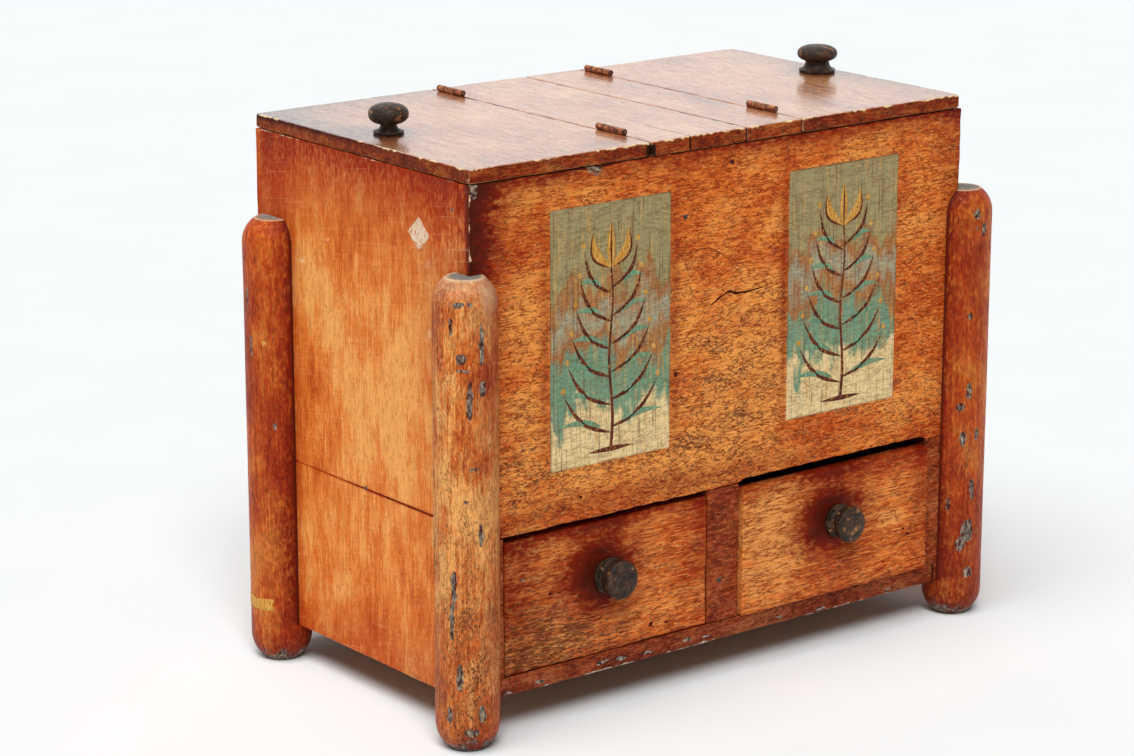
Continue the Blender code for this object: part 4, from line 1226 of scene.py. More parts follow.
@dataclass
class Hinges:
    """Four butt hinges let into the edges of the top boards, three knuckles each on a pin."""

    barrel: float = 3.75 * MM
    bore: float = 1.9 * MM
    ease: float = 1.1 * MM  # rounding of a knuckle's ends
    leaf_width: float = 13.5 * MM
    leaf_thickness: float = 1.5 * MM
    leaf_gap: float = 0.15 * MM  # from the seam's middle to each leaf
    neck_root: float = 1.0 * MM  # into the plate
    neck_end: float = 2.2 * MM  # below the pin's axis
    middle_length: float = 21.0 * MM
    around: int = 28
    screw_head: float = 2.6 * MM  # radius
    screw_out: float = 15.0 * MM  # from the leaf's middle, along the pin
    screw_drop: float = 7.5 * MM  # below the leaf's top
    slot_width: float = 0.7 * MM
    names: tuple[str, ...] = ("left_front", "left_back", "right_front", "right_back")

    def place(self, name: str) -> tuple[Array, float]:
        """Find the middle of a hinge's pin, and half the pin's length."""
        low, high = np.array(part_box(f"{name}_hinge_pin"))
        return (low + high) / 2.0, (high[1] - low[1]) / 2.0

    def mortise(self, name: str) -> Cut:
        """Give the recess that both leaves of a hinge lie in.

        Args:
            name: Hand and end of the hinge.

        Returns:
            The box to cut from the boards beside the seam.
        """
        middle, half = self.place(name)
        reach = self.leaf_gap + self.leaf_thickness + SEAT
        top = middle[2] - self.barrel - SEAT
        low = (middle[0] - reach, middle[1] - half - SEAT, top - self.leaf_width - SEAT)
        return Cut(low, (middle[0] + reach, middle[1] + half + SEAT, top + 2.0 * MM))

    def knuckle(self, middle: Array, start: float, end: float) -> Shell:
        """Turn one knuckle: a barrel along y with rounded ends, bored for the pin.

        Over the easing e at each end, at an angle t from 0 to a right angle, the surface lies
        e (1 - cos t) in from the end and e (1 - sin t) below the barrel's radius.

        Args:
            middle: Place on the pin's axis.
            start: Low end along the pin, from the middle.
            end: High end along the pin, from the middle.

        Returns:
            The closed shell.
        """
        turn = np.linspace(0.0, np.pi / 2.0, 5)
        drop = self.ease * (1.0 - np.sin(turn))
        inset = self.ease * (1.0 - np.cos(turn))
        shaft = np.linspace(start + self.ease, end - self.ease, 7)[1:-1]
        along = np.concatenate((start + inset, shaft, end - inset[::-1], (end, start)))
        depth = np.concatenate((drop, np.zeros(len(shaft)), drop[::-1], np.full(2, self.barrel - self.bore)))
        rings = turned(self.barrel - depth, along, self.around)[..., (0, 2, 1)] + middle
        dent = lattice_noise(rings.reshape(-1, 3), 3.0 * MM, 4).reshape(rings.shape[:2])
        rings[..., 2] -= 0.08 * MM * (0.5 + 0.5 * dent)
        return ring_shell(rings, bored=True)

    def leaf(self, name: str, part: str, side: int, body: str, spans: Sequence[Pair]) -> None:
        """Build one leaf: a thin plate in the mortise, a neck to each knuckle, and the knuckles.

        Args:
            name: Hand and end of the hinge.
            part: fixed or moving.
            side: -1 where the plate lies to the left of the seam, else 1.
            body: Body that the leaf moves with.
            spans: Ends of its knuckles along the pin.
        """
        middle, half = self.place(name)
        top = middle[2] - self.barrel - SEAT
        near = middle[0] + side * self.leaf_gap
        width = sorted((near, near + side * self.leaf_thickness))
        node = f"{name}_hinge_{part}_leaf"
        plate = Cut((width[0], middle[1] - half, top - self.leaf_width), (width[1], middle[1] + half, top))
        obj = mesh_object(f"{node}_iron", [plate.shell()])
        for start, end in spans:
            neck = Cut(
                (width[0], middle[1] + start, top - self.neck_root),
                (width[1], middle[1] + end, middle[2] - self.neck_end))
            combine(obj, mesh_object("neck", [neck.shell()]), "UNION")
            combine(obj, mesh_object("knuckle", [self.knuckle(middle, start, end)]), "UNION")
        along = vertex_points(obj)[:, 1] - middle[1]
        gaps = [np.abs(along - end) for span in spans for end in span]
        mark(obj, grime=0.9 * np.exp(-np.minimum.reduce(gaps) / (1.3 * MM)))
        settle(obj, HINGE_IRON.material(), body, "hinge_iron", node)
        self.screws(node, np.array((near, middle[1], top - self.screw_drop)), -side, body)

    def screws(self, node: str, middle: Array, facing: int, body: str) -> None:
        """Set two countersunk screws in a leaf, with their slotted heads level with its face.

        Args:
            node: The leaf.
            middle: Place on its face, midway between the screws.
            facing: -1 where the face looks to the left, else 1.
            body: Body that the leaf moves with.
        """
        out = (float(facing), 0.0, 0.0)
        heads, slots = [], []
        narrow, wide = self.slot_width / 2.0, 2.0 * self.screw_head
        for along, half in (
                (-self.screw_out, (narrow, narrow, wide)), (self.screw_out, (narrow, wide, narrow))):
            place = middle + (0.0, along, 0.0)
            head = Nail(tuple(place), out, self.screw_head, proud=0.05 * MM, sunk=1.0 * MM, ragged=0.0)
            heads.append(head.shell())
            slots.append(Cut(tuple(place - half), tuple(place + half)).shell())
        obj = mesh_object(f"{node}_screws", heads)
        carve(obj, slots)
        settle(obj, SCREW_STEEL.material(), body, "screw_steel")

    def build(self) -> None:
        """Build the leaves of all four hinges."""
        for name in self.names:
            _, half = self.place(name)
            inner = self.middle_length / 2.0
            hand, side = ("left", -1) if name.startswith("left") else ("right", 1)
            self.leaf(name, "moving", side, f"{hand}_lid", [(-inner, inner)])
            self.leaf(name, "fixed", -side, "case", [(-half, -inner - SEAT), (inner + SEAT, half)])


@dataclass
class Top:
    """The top: two fixed boards in the middle and a lid at each end."""

    hinges: Hinges
    chip_half: float = 7.0 * MM  # corner broken off on both sides of the left seam
    chip_height: float = 14.0 * MM
    chip_depth: float = 12.0 * MM
    chip_taper: float = 0.2
    split_x: float = -0.064  # check in the wide board, open at its front end
    split_width: float = 0.7 * MM
    split_length: float = 0.085
    split_depth: float = 16.0 * MM
    split_taper: float = 0.35

    def build(self) -> None:
        """Build the four boards with their mortises, the broken corner and the split."""
        left, right = (
            tuple(self.hinges.mortise(f"{hand}_{end}") for end in ("front", "back"))
            for hand in ("left", "right"))
        seam = self.hinges.place("left_front")[0][0]
        (left_end, front, _), (_, back, _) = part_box("left_lid_board")
        right_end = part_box("right_lid_board")[1][0]
        under, surface = (corner[2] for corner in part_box("centre_top_wide_board"))
        chip = Cut(
            (seam - self.chip_half, front - self.chip_depth, under - self.chip_height),
            (seam + self.chip_half, front + self.chip_depth, under + self.chip_height), self.chip_taper)
        split = Cut(
            (self.split_x - self.split_width, front - 5.0 * MM, surface - self.split_depth),
            (self.split_x + self.split_width, front + self.split_length, surface + 5.0 * MM),
            self.split_taper)
        joints = (seam, *(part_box(f"centre_top_{board}_board")[1][0] for board in ("wide", "narrow")))
        seams = tuple(Stain((x, 0.0, surface), (1.3 * MM, 9.0, 9.0), 2.0) for x in joints)
        # A ring stain; on the lids, dirt along the outer and back edges, and handled dirt with painted shade
        # round each knob's base.
        ring, left_dirt_and_shade, right_dirt_and_shade = (stains_on(Side.UPPER, surface, SKIN, rows) for rows in (
            ((0.089, -0.0376, 0.02, 0.04, 0.9),),
            ((-0.385, 0.14, 0.07, 0.2, 1.2), (-0.25, 0.25, 0.25, 0.06, 1.0),
             (-0.327, 0.03, 0.036, 0.036, 1.2)),
            ((0.38, 0.0, 0.06, 0.26, 1.0), (0.333, 0.03, 0.04, 0.04, 0.8))))
        corners = [(x, y, 0.014, 0.014, 1.3 * MM) for x in (left_end, right_end) for y in (front, back)]
        rubbed = Stain((left_end, -0.05, under), (5.0 * MM, 0.22, 1.8 * MM), 0.55)
        ends = (Side.FRONT, Side.BACK)
        shared = {
            "slot": "top_varnish", "finish": TOP_VARNISH, "raw_sides": (Side.UNDER,), "band": EDGE_PAINT,
            "arris": 2.3 * MM, "edge_grime": 0.15, "spacing": 5.0 * MM,
            "knocks": stains_on(Side.UPPER, surface, 0.03, corners)}
        kept = (Side.LEFT, Side.RIGHT, Side.UNDER)
        fixed = {"body": "case", "kept_sides": kept, "band_sides": ends, **shared}
        boards = (
            WornBoard("centre_top_wide_board", cuts=(*left, chip, split), stains=seams, seed=41, **fixed),
            WornBoard("centre_top_narrow_board", cuts=right, stains=ring + seams, seed=43, **fixed),
            WornBoard(
                "left_lid_board", "left_lid", kept_sides=(Side.RIGHT, Side.UNDER),
                band_sides=(*ends, Side.LEFT), cuts=(*left, chip), stains=left_dirt_and_shade + seams,
                pale_spots=(rubbed,), seed=45, **shared),
            WornBoard(
                "right_lid_board", "right_lid", kept_sides=(Side.LEFT, Side.UNDER),
                band_sides=(*ends, Side.RIGHT), cuts=right, stains=right_dirt_and_shade + seams, seed=47, **shared),
        )
        for board in boards:
            board.build()


@dataclass(frozen=True)
class PostPlace:
    """One post: its axis, how red its paint and how dark the painted shade on one side, and how bald at the
    head, rough and chipped its paint is.

    A chip is its angle from +x in degrees, its height, and its reach sideways and upwards in mm.
    """

    x: float
    y: float
    # red: above 0.5 the redder paint, and the strength of the painted shade on the shaded side
    red: float
    shaded_side: float  # angle from +x in degrees of the side that painted shade darkens
    bald: float
    rough: float  # more gives more pits
    chip_level: float  # more keeps more paint
    chips: tuple[tuple[float, float, float, float], ...] = ()


@dataclass
class Posts:
    """Four round posts with domed ends, hewn by hand and notched over the case's corners."""

    radius: float = 37.3 * MM
    height: float = 548.0 * MM
    head_flat: float = 21.5 * MM
    head_dome: float = 36.0 * MM
    foot_flat: float = 19.5 * MM
    foot_dome: float = 38.5 * MM
    columns: int = 120
    shaft_rows: int = 170
    dome_rows: int = 16
    places: dict[str, PostPlace] = field(default_factory=lambda: {
        "front_left_post": PostPlace(-0.3825, -0.1905, 0.42, -40, 0.58, 0.3, 0.9, (
            (-139, 0.5235, 7, 3.5), (-118, 0.524, 4, 3), (-133, 0.463, 6.5, 6), (-97, 0.476, 3.5, 26),
            (-95, 0.428, 5, 11), (-119, 0.415, 4, 26), (-130, 0.449, 8, 2.2), (-152, 0.5, 2.5, 10),
            (-113, 0.338, 7, 2.5), (-126, 0.3, 3, 3), (-100, 0.262, 3, 14), (-150, 0.2, 4, 22),
            (-154, 0.16, 3, 24), (-140, 0.095, 4.5, 16), (-160, 0.048, 4, 9), (-100, 0.05, 5, 12),
            (-120, 0.028, 10, 5))),
        "front_right_post": PostPlace(0.3825, -0.1858, 0.58, -150, 0.05, 0, 0.9, (
            (-104, 0.52, 5, 7), (-86, 0.5, 4, 9), (-112, 0.392, 4, 4), (-110, 0.297, 4, 12),
            (-126, 0.276, 6, 5), (-120, 0.236, 5, 11), (-90, 0.24, 4, 9), (-145, 0.15, 3, 9),
            (-97, 0.17, 4, 16), (-104, 0.115, 9, 16), (-120, 0.098, 7, 9), (-100, 0.06, 7, 8))),
        "back_left_post": PostPlace(-0.3802, 0.1944, 0.95, -50, 0, 0, 0.98, (
            (-185, 0.455, 3, 16), (-175, 0.395, 2.5, 14), (-128, 0.3, 3, 4))),
        "back_right_post": PostPlace(0.3684, 0.1944, 0.6, -60, 0.1, -0.2, 0.8),
    })

    def profile(self) -> tuple[Array, Array]:
        """Trace a post from its foot to its head: flat, dome, shaft, dome, flat.

        A dome is part of an ellipse, cut off where its radius is that of the flat.

        Returns:
            Radius and height of each ring.
        """
        flats = np.linspace(0.08, 1.0, 5)[:-1]
        foot = np.linspace(math.asin(self.foot_flat / self.radius), math.pi / 2.0, self.dome_rows)
        head = np.linspace(math.pi / 2.0, math.asin(self.head_flat / self.radius), self.dome_rows)
        spring = self.foot_dome * np.cos(foot[0])
        shoulder = self.height - self.head_dome * np.cos(head[-1])
        shaft = np.linspace(spring, shoulder, self.shaft_rows)[1:-1]
        radius = np.concatenate((
            self.foot_flat * flats, self.radius * np.sin(foot), np.full(len(shaft), self.radius),
            self.radius * np.sin(head), self.head_flat * flats[::-1]))
        height = np.concatenate((
            np.zeros(len(flats)), spring - self.foot_dome * np.cos(foot), shaft,
            shoulder + self.head_dome * np.cos(head), np.full(len(flats), self.height)))
        return radius, height

    def notch(self, x: float, y: float) -> Cut:
        """Give the corner of the case that a post is cut away for.

        Args:
            x: Post axis.
            y: Post axis.

        Returns:
            The box to cut from it.
        """
        low = np.array(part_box("left_side_lower_board")[0]) - SEAT
        high = np.array(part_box("right_side_lower_board")[1]) + SEAT
        low[1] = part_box("front_board")[0][1] - SEAT
        high[1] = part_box("back_lower_board")[1][1] + SEAT
        reach = 3.0 * self.radius
        corner = (low[0] if x < 0 else high[0] - reach, low[1] if y < 0 else high[1] - reach, low[2])
        return Cut(corner, (corner[0] + reach, corner[1] + reach, 1.0))

    def build(self) -> None:
        """Turn each post, dent it, chip its paint, notch it and mark its wear and painted shade."""
        radius, height = self.profile()
        for index, (node, place) in enumerate(self.places.items()):
            rings = turned(radius, height, self.columns)
            flat = rings.reshape(-1, 3)
            hewn = 0.5 + 0.5 * lattice_noise(flat, (0.022, 0.022, 0.09), 50 + index)
            sunk = 0.7 * MM * hewn + 0.6 * MM * self.chipped(flat, index, place)
            flat[:, :2] *= (1.0 - sunk / self.radius)[:, None]
            flat[:, :2] += (place.x, place.y)
            obj = mesh_object(f"{node}_hewn", [ring_shell(rings)])
            notch = self.notch(place.x, place.y)
            carve(obj, [notch.shell()])
            self.dress(obj, node, index, place, notch)

    def chipped(self, points: Array, index: int, place: PostPlace) -> Array:
        """Mark where the paint has chipped: at the post's chips, and in a few blotches 20 mm tall.

        Args:
            points: Places relative to the post's axis.
            index: Number of the post.
            place: The post.

        Returns:
            0 where the paint holds, up to 1 where it is gone.
        """
        ragged = 0.3 * lattice_noise(points, (3.5 * MM, 3.5 * MM, 7.0 * MM), 64 + index)
        blotch = lattice_noise(points, (9.0 * MM, 9.0 * MM, 20.0 * MM), 60 + index) - place.chip_level
        angle = np.degrees(np.arctan2(points[:, 1], points[:, 0]))
        for turn, z, wide, tall in place.chips:
            aside = self.radius * np.radians((angle - turn + 180.0) % 360.0 - 180.0)
            bell = np.exp(-(aside / (wide * MM)) ** 2 - ((points[:, 2] - z) / (tall * MM)) ** 2)
            blotch = np.maximum(blotch, 1.6 * bell - 0.5)
        return np.clip((blotch + ragged) / 0.3, 0.0, 1.0)

    def dress(self, obj: Piece, node: str, index: int, place: PostPlace, notch: Cut) -> None:
        """Mark a post's wear and painted shade and give it its finish.

        The notch's arrises are where its two planes meet the round: each plane crosses the round once
        on the notch's side, at the square root of radius squared less offset squared.

        Args:
            obj: The notched post.
            node: Solid that it stands for.
            index: Number of the post.
            place: The post.
            notch: The box cut from it.
        """
        points = vertex_points(obj)
        local = points - (place.x, place.y, 0.0)
        skin = np.hypot(local[:, 0], local[:, 1])
        wall_x = (notch.low if place.x < 0 else notch.high)[0] - place.x
        wall_y = (notch.low if place.y < 0 else notch.high)[1] - place.y
        inward_x, inward_y = (-math.copysign(1.0, place.x), -math.copysign(1.0, place.y))
        cross_y = inward_y * np.sqrt(np.maximum(skin ** 2 - wall_x ** 2, 0.0))
        cross_x = inward_x * np.sqrt(np.maximum(skin ** 2 - wall_y ** 2, 0.0))
        edge = np.minimum(
            np.hypot(local[:, 0] - wall_x, local[:, 1] - cross_y),
            np.hypot(local[:, 0] - cross_x, local[:, 1] - wall_y))
        z = points[:, 2]
        # Painted shade within about 8 mm of the crease where the post meets the case, and a dark joint line
        # along it.
        crease_shade_and_joint = (0.7 * np.exp(-edge / (8.0 * MM)) + 1.1 * np.exp(-edge / (1.5 * MM))) * (z > notch.low[2])
        head = np.clip((z - self.height + 0.06) / 0.05, 0.0, 1.0)
        rim = np.exp(-(np.hypot(skin - self.head_flat, z - self.height) / (1.6 * MM)) ** 2)
        blotch = lattice_noise(local, (0.02, 0.02, 0.03), 70 + index)
        pale = place.bald * head * (0.75 + 0.5 * blotch) + 0.9 * rim
        faded = 0.9 * place.bald * np.exp(-((z - 0.27) / 0.1) ** 2)
        # Painted shade darkens the post towards its shaded side, by its red value; it is also darker towards
        # the foot.
        turn = np.arctan2(local[:, 1], local[:, 0]) - math.radians(place.shaded_side)
        shade = 0.5 + 0.5 * np.cos(turn)
        grime = place.red * 1.15 * shade ** 1.3 + 0.5 * np.exp(-z / 0.1)
        grime = grime + 0.3 * lattice_noise(local, (0.06, 0.06, 0.12), 74 + index)
        foot = np.exp(-z / 0.03) * (0.75 + 0.35 * lattice_noise(local, 9.0 * MM, 82 + index))
        chip = np.maximum(self.chipped(local, index, place), foot)
        raw = (z > self.height - 0.4 * MM) & (skin < self.head_flat - 0.5 * MM)
        hatch = place.rough + 0.5 * lattice_noise(local, (0.03, 0.03, 0.09), 78 + index)
        hatch = hatch - 0.8 * np.clip((z - 0.22) / 0.15, 0.0, 1.0)
        # Darkest at the very foot, where the post stands on the floor.
        grime = np.clip(grime, 0.0, 0.9) + crease_shade_and_joint + 0.9 * np.exp(-z / 0.012)
        mark(obj, edge=NO_ARRIS, grime=grime, hatch=hatch, pale=pale, raw=raw, chip=chip, faded=faded)
        finish = RED_POST_PAINT if place.red > 0.5 else POST_PAINT
        settle(obj, finish.material(), "case", "post_paint", node)


@dataclass(frozen=True)
class Knob:
    """A turned knob: base disc, cove up to the neck, and a bun-shaped head."""

    node: str
    body: str
    height: float
    head_radius: float
    head_height: float
    neck_radius: float
    base_radius: float
    base_height: float
    squareness: float  # 2 gives an elliptical head, more a flatter one
    forward: bool  # points to the front, else up
    columns: int = 72

    def profile(self) -> tuple[Array, Array]:
        """Trace the knob from the middle of its base to the middle of its head.

        The head is a superellipse and the cove a quarter of an ellipse from base disc to neck.

        Returns:
            Radius and height of each ring.
        """
        half = self.head_height / 2.0
        power = 2.0 / self.squareness
        last = math.acos((self.neck_radius / self.head_radius) ** (1.0 / power))
        turn = np.linspace(-last, math.pi / 2.0, 34)[:-1]
        head_r = self.head_radius * np.cos(turn) ** power
        head_z = self.height - half + half * np.sign(turn) * np.abs(np.sin(turn)) ** power
        sweep = np.linspace(math.pi / 2.0, 0.0, 12)[:-1]
        cove_r = self.neck_radius + (self.base_radius - self.neck_radius) * (1.0 - np.cos(sweep))
        cove_z = self.base_height + (head_z[0] - self.base_height) * (1.0 - np.sin(sweep))
        disc_r = self.base_radius * np.array((0.3, 0.7, 0.97, 1.0, 1.0))
        disc_z = self.base_height * np.array((0.0, 0.0, 0.0, 0.12, 0.85))
        return np.concatenate((disc_r, cove_r, head_r)), np.concatenate((disc_z, cove_z, head_z))

    def build(self) -> None:
        """Turn the knob, nick its rim, set it on its board and dress it."""
        radius, height = self.profile()
        rings = turned(radius, height, self.columns)
        flat = rings.reshape(-1, 3)
        seed = 80 + len(self.node) + int(self.forward)
        blotch = lattice_noise(flat, 6.5 * MM, seed)
        worn_from = 0.34 if self.forward else 0.38
        chip = np.clip((blotch - worn_from) / 0.25, 0.0, 1.0) * (flat[:, 2] > self.base_height)
        dent = 0.35 * MM * chip + 0.25 * MM * (0.5 + 0.5 * lattice_noise(flat, 11.0 * MM, seed + 3))
        flat[:, :2] *= (1.0 - dent / np.maximum(np.hypot(flat[:, 0], flat[:, 1]), 4.0 * MM))[:, None]
        shell = ring_shell(rings)
        chip = np.concatenate((chip, (0.0, 0.0)))
        low, high = np.array(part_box(self.node))
        middle = (low + high) / 2.0
        if self.forward:
            x, y, z = shell.points.T
            shell.points = np.stack((middle[0] + x, high[1] - z, middle[2] + y), axis=1)
        else:
            shell.points = shell.points + (middle[0], middle[1], low[2])
        obj = mesh_object(f"{self.node}_turned", [shell])
        mark(obj, edge=NO_ARRIS, chip=chip)
        settle(obj, KNOB_PAINT.material(), self.body, "knob_paint", self.node)


@dataclass
class Drawers:
    """Two drawer fronts, dark round their knobs from handling and from painted knob shadow; their boxes stay
    bare.

    The spots are pits and grey chips, each with its place in x and z and its reach.
    """

    spots: dict[str, tuple[tuple[Corner, ...], tuple[Corner, ...]]] = field(default_factory=lambda: {
        "left": (
            ((-0.268, 0.158, 0.005), (-0.118, 0.09, 0.006), (-0.095, 0.087, 0.005), (-0.047, 0.079, 0.004)),
            ((-0.307, 0.182, 0.006), (-0.112, 0.094, 0.004))),
        "right": (
            ((0.288, 0.123, 0.005), (0.281, 0.131, 0.004), (0.294, 0.13, 0.004), (0.25, 0.205, 0.003)),
            ((0.14, 0.089, 0.006), (0.028, 0.083, 0.006))),
    })

    def build(self) -> None:
        """Build both fronts with the rabbets that hold the drawer sides."""
        for index, hand in enumerate(("left", "right")):
            name = f"{hand}_drawer"
            x, y, z = np.array(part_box(f"{name}_knob")).mean(axis=0)
            (left, surface, foot), (right, _, head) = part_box(f"{name}_front")
            # Handled dirt with painted knob shadow round the knob; darker along the top and bottom edges and
            # at the right end; darker at the left end, most on the left drawer beside the post, dirt with
            # painted shade. The lighter patch is dust and painted sheen.
            red = 1.0 if hand == "left" else 0.15
            stains, hatches, faded = (stains_on(Side.FRONT, y, 1.0, rows) for rows in (
                ((x - 0.006, z + 0.006, 0.066, 0.054, 1.0), (x - 0.012, z + 0.004, 0.042, 0.036, 1.6),
                 (x, head, 0.2, 0.012, 1.0), (left, z, 0.06, 0.12, red), (right, z + 0.03, 0.03, 0.09, 0.8),
                 (x, foot, 0.2, 0.008, 0.5)),
                ((left + 0.05, foot + 0.03, 0.1, 0.05, 1.8 * red), (x + 0.05, foot, 0.08, 0.05, 0.5)),
                ((left + 0.045, z - 0.01, 0.07, 0.06, 0.7 - 0.6 * red),)))
            scars, chips = (
                stains_on(
                    Side.FRONT, surface, 0.01, [(*at, wide, wide * tall, strength) for *at, wide in spots])
                for spots, tall, strength in zip(self.spots[hand], (0.7, 0.6), (TORN, 0.7)))
            seats = (np.array(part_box(f"{name}_{part}_side")) for part in ("left", "right"))
            WornBoard(
                f"{name}_front", name, "front_paint", DRAWER_PAINT, (Side.BACK,), tuple(Side), stains=stains,
                faded=faded, hatches=hatches, spacing=4.0 * MM, arris=1.9 * MM, grime_reach=5.0,
                edge_grime=0.9, scars=scars, chips=chips, seed=90 + index,
                cuts=tuple(Cut(tuple(low - SEAT), tuple(high + SEAT)) for low, high in seats)).build()


@dataclass
class FrontPanels:
    """Two painted panels on the front board: a banded ground with a plain folk sprig in brush strokes."""

    width: float = 0.175
    foot: float = 0.302
    head: float = 0.606
    middles: Pair = (-0.1799, 0.1759)
    proud: float = 0.2 * MM
    ridge: float = 0.28 * MM
    pairs: int = 6
    stroke_points: int = 26

    def ground(self, name: str, middle: float, surface: float) -> None:
        """Build a panel's ground: a sheet of paint with soft edges, sunk into the board behind.

        Args:
            name: Name of the piece.
            middle: Its middle in x.
            surface: Front face of the board.
        """
        spans = (
            (middle - self.width / 2.0, middle + self.width / 2.0),
            (surface - self.proud, surface + 0.8 * MM), (self.foot, self.head))
        lines = [np.linspace(*spans[0], 50), np.linspace(*spans[1], 2), np.linspace(*spans[2], 80)]
        shell = box_shell(lines)
        ragged = lattice_noise(shell.points, 6.0 * MM, 7)
        for axis in (0, 2):
            for end, turn in ((spans[axis][0], 1.0), (spans[axis][1], -1.0)):
                rim = np.abs(shell.points[:, axis] - end) < 0.01 * MM
                shell.points[rim, axis] += turn * 0.6 * MM * np.abs(ragged[rim])
        obj = mesh_object(name, [shell])
        obj.data.set_sharp_from_angle(angle=CREASE)
        gaps = [
            np.minimum(shell.points[:, axis] - spans[axis][0], spans[axis][1] - shell.points[:, axis])
            for axis in (0, 2)]
        mark(obj, edge=np.minimum(*gaps) / MM)
        paint = PanelPaint("crackled_panel_distemper", self.foot, self.head, FRONT_PAINT)
        settle(obj, paint.material(), "case", "front_paint")

    def leaf(self, start: Pair, tip: Pair, bow: float, fat: float, surface: float) -> Shell:
        """Draw a leaf: a bowed path from stalk to tip, its width swelling as a sine and back to nothing.

        Args:
            start: Stalk in x and z.
            tip: Tip in x and z.
            bow: Sideways bow of the path.
            fat: Largest half width.
            surface: Face that it lies on.

        Returns:
            The closed shell.
        """
        t = np.linspace(0.0, 1.0, self.stroke_points)[:, None]
        reach = np.subtract(tip, start)
        sideways = np.array((-reach[1], reach[0])) / np.linalg.norm(reach)
        path = np.array(start) + reach * t + sideways * bow * np.sin(np.pi * t)
        half = 0.25 * MM + fat * np.sin(np.pi * t[:, 0] ** 0.8) ** 0.9
        return brush_stroke(path, half, surface, self.ridge)

    def sprig(self, hand: str, middle: float, surface: float) -> None:
        """Draw the sprig: an upright stem, pairs of leaves that shorten upwards, and a three-petal head.

        Args:
            hand: left or right.
            middle: Middle of the panel in x.
            surface: Face that it lies on.
        """
        tall = self.head - self.foot
        t = np.linspace(0.0, 1.0, 60)
        sway = 2.5 * MM * np.sin(3.0 * np.pi * t)
        stem = np.stack((middle + sway, self.foot + tall * (0.05 + 0.7 * t)), axis=1)
        dark = [brush_stroke(stem, 2.4 * MM - 1.2 * MM * t, surface, self.ridge)]
        green, ochre = [], []
        for pair in range(self.pairs):
            share = pair / (self.pairs - 1.0)
            base = self.foot + tall * (0.12 + 0.54 * share)
            reach = 0.068 - 0.03 * share
            for side in (-1.0, 1.0):
                stalk = (middle, base + side * 3.0 * MM)
                tip = (middle + side * reach, base + 0.05)
                dark.append(self.leaf(stalk, tip, -side * 11.0 * MM, 2.6 * MM, surface))
                leaf_tip = (middle + side * (reach + 7.0 * MM), base + 0.014)
                leaf_root = (middle + side * 14.0 * MM, base + 6.0 * MM)
                green.append(self.leaf(leaf_root, leaf_tip, side * 5.0 * MM, 3.6 * MM, surface))
                berry = (tip[0] + side * 1.0 * MM, tip[1] + 3.0 * MM)
                ochre.append(self.leaf(berry, (berry[0], berry[1] + 7.0 * MM), 0.0, 3.0 * MM, surface))
        crown = self.foot + tall * 0.75
        for side, lean in ((-1.0, 0.026), (0.0, 0.0), (1.0, 0.026)):
            tip = (middle + side * lean, crown + 0.052 - 0.01 * abs(side))
            ochre.append(self.leaf((middle, crown), tip, -side * 9.0 * MM, 6.0 * MM, surface))
            vein = (middle + side * 3.0 * MM, crown)
            dark.append(self.leaf(vein, tip, -side * 14.0 * MM, 1.5 * MM, surface - 0.1 * MM))
        along = np.linspace(middle - 0.032, middle + 0.032, 30)
        foot = np.stack((along, np.full(30, self.foot + 0.014)), axis=1)
        half = 3.0 * MM * np.sin(np.linspace(0.12, np.pi - 0.12, 30))
        dark.append(brush_stroke(foot, half, surface, self.ridge))
        for tone, shells in (("dark", dark), ("green", green), ("ochre", ochre)):
            obj = mesh_object(f"{hand}_panel_sprig_{tone}", shells)
            settle(obj, SPRIG_PAINTS[tone].material(), "case", "front_paint")

    def build(self) -> None:
        """Build both panels."""
        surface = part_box("front_board")[0][1]
        for hand, middle in zip(("left", "right"), self.middles):
            self.ground(f"{hand}_panel_ground", middle, surface)
            self.sprig(hand, middle, surface - self.proud)


@dataclass(frozen=True)
class Nail:
    """A nail head or a dab the size of one: its middle, the way it faces, its radius and its finish."""

    middle: Corner
    facing: Corner
    radius: float
    finish: RustedIron | StrokePaint = NAIL_IRON
    slot: str = "screw_steel"
    proud: float = 0.5 * MM
    sunk: float = 1.5 * MM
    ragged: float = 0.12  # share of the radius

    def shell(self) -> Shell:
        """Turn the head: a shank of full radius under a dome that is a quarter of an ellipse.

        Returns:
            The closed shell.
        """
        out = np.array(self.facing) / np.linalg.norm(self.facing)
        across = np.cross(out, (0.0, 0.0, 1.0))
        across /= np.linalg.norm(across)
        above = np.cross(out, across)
        turn = np.linspace(0.0, np.pi / 2.0, 7)[:-1]
        radius = self.radius * np.concatenate(((0.6, 1.0), np.cos(turn)))
        height = np.concatenate(((-self.sunk, -self.sunk), self.proud * np.sin(turn)))
        angle = circle(20)
        ragged = 1.0 + self.ragged * np.sin(3.0 * angle + 400.0 * self.middle[2])
        ring = np.cos(angle)[:, None] * across + np.sin(angle)[:, None] * above
        flat = radius[:, None, None] * (ragged[:, None] * ring)
        return ring_shell(np.array(self.middle) + flat + height[:, None, None] * out)


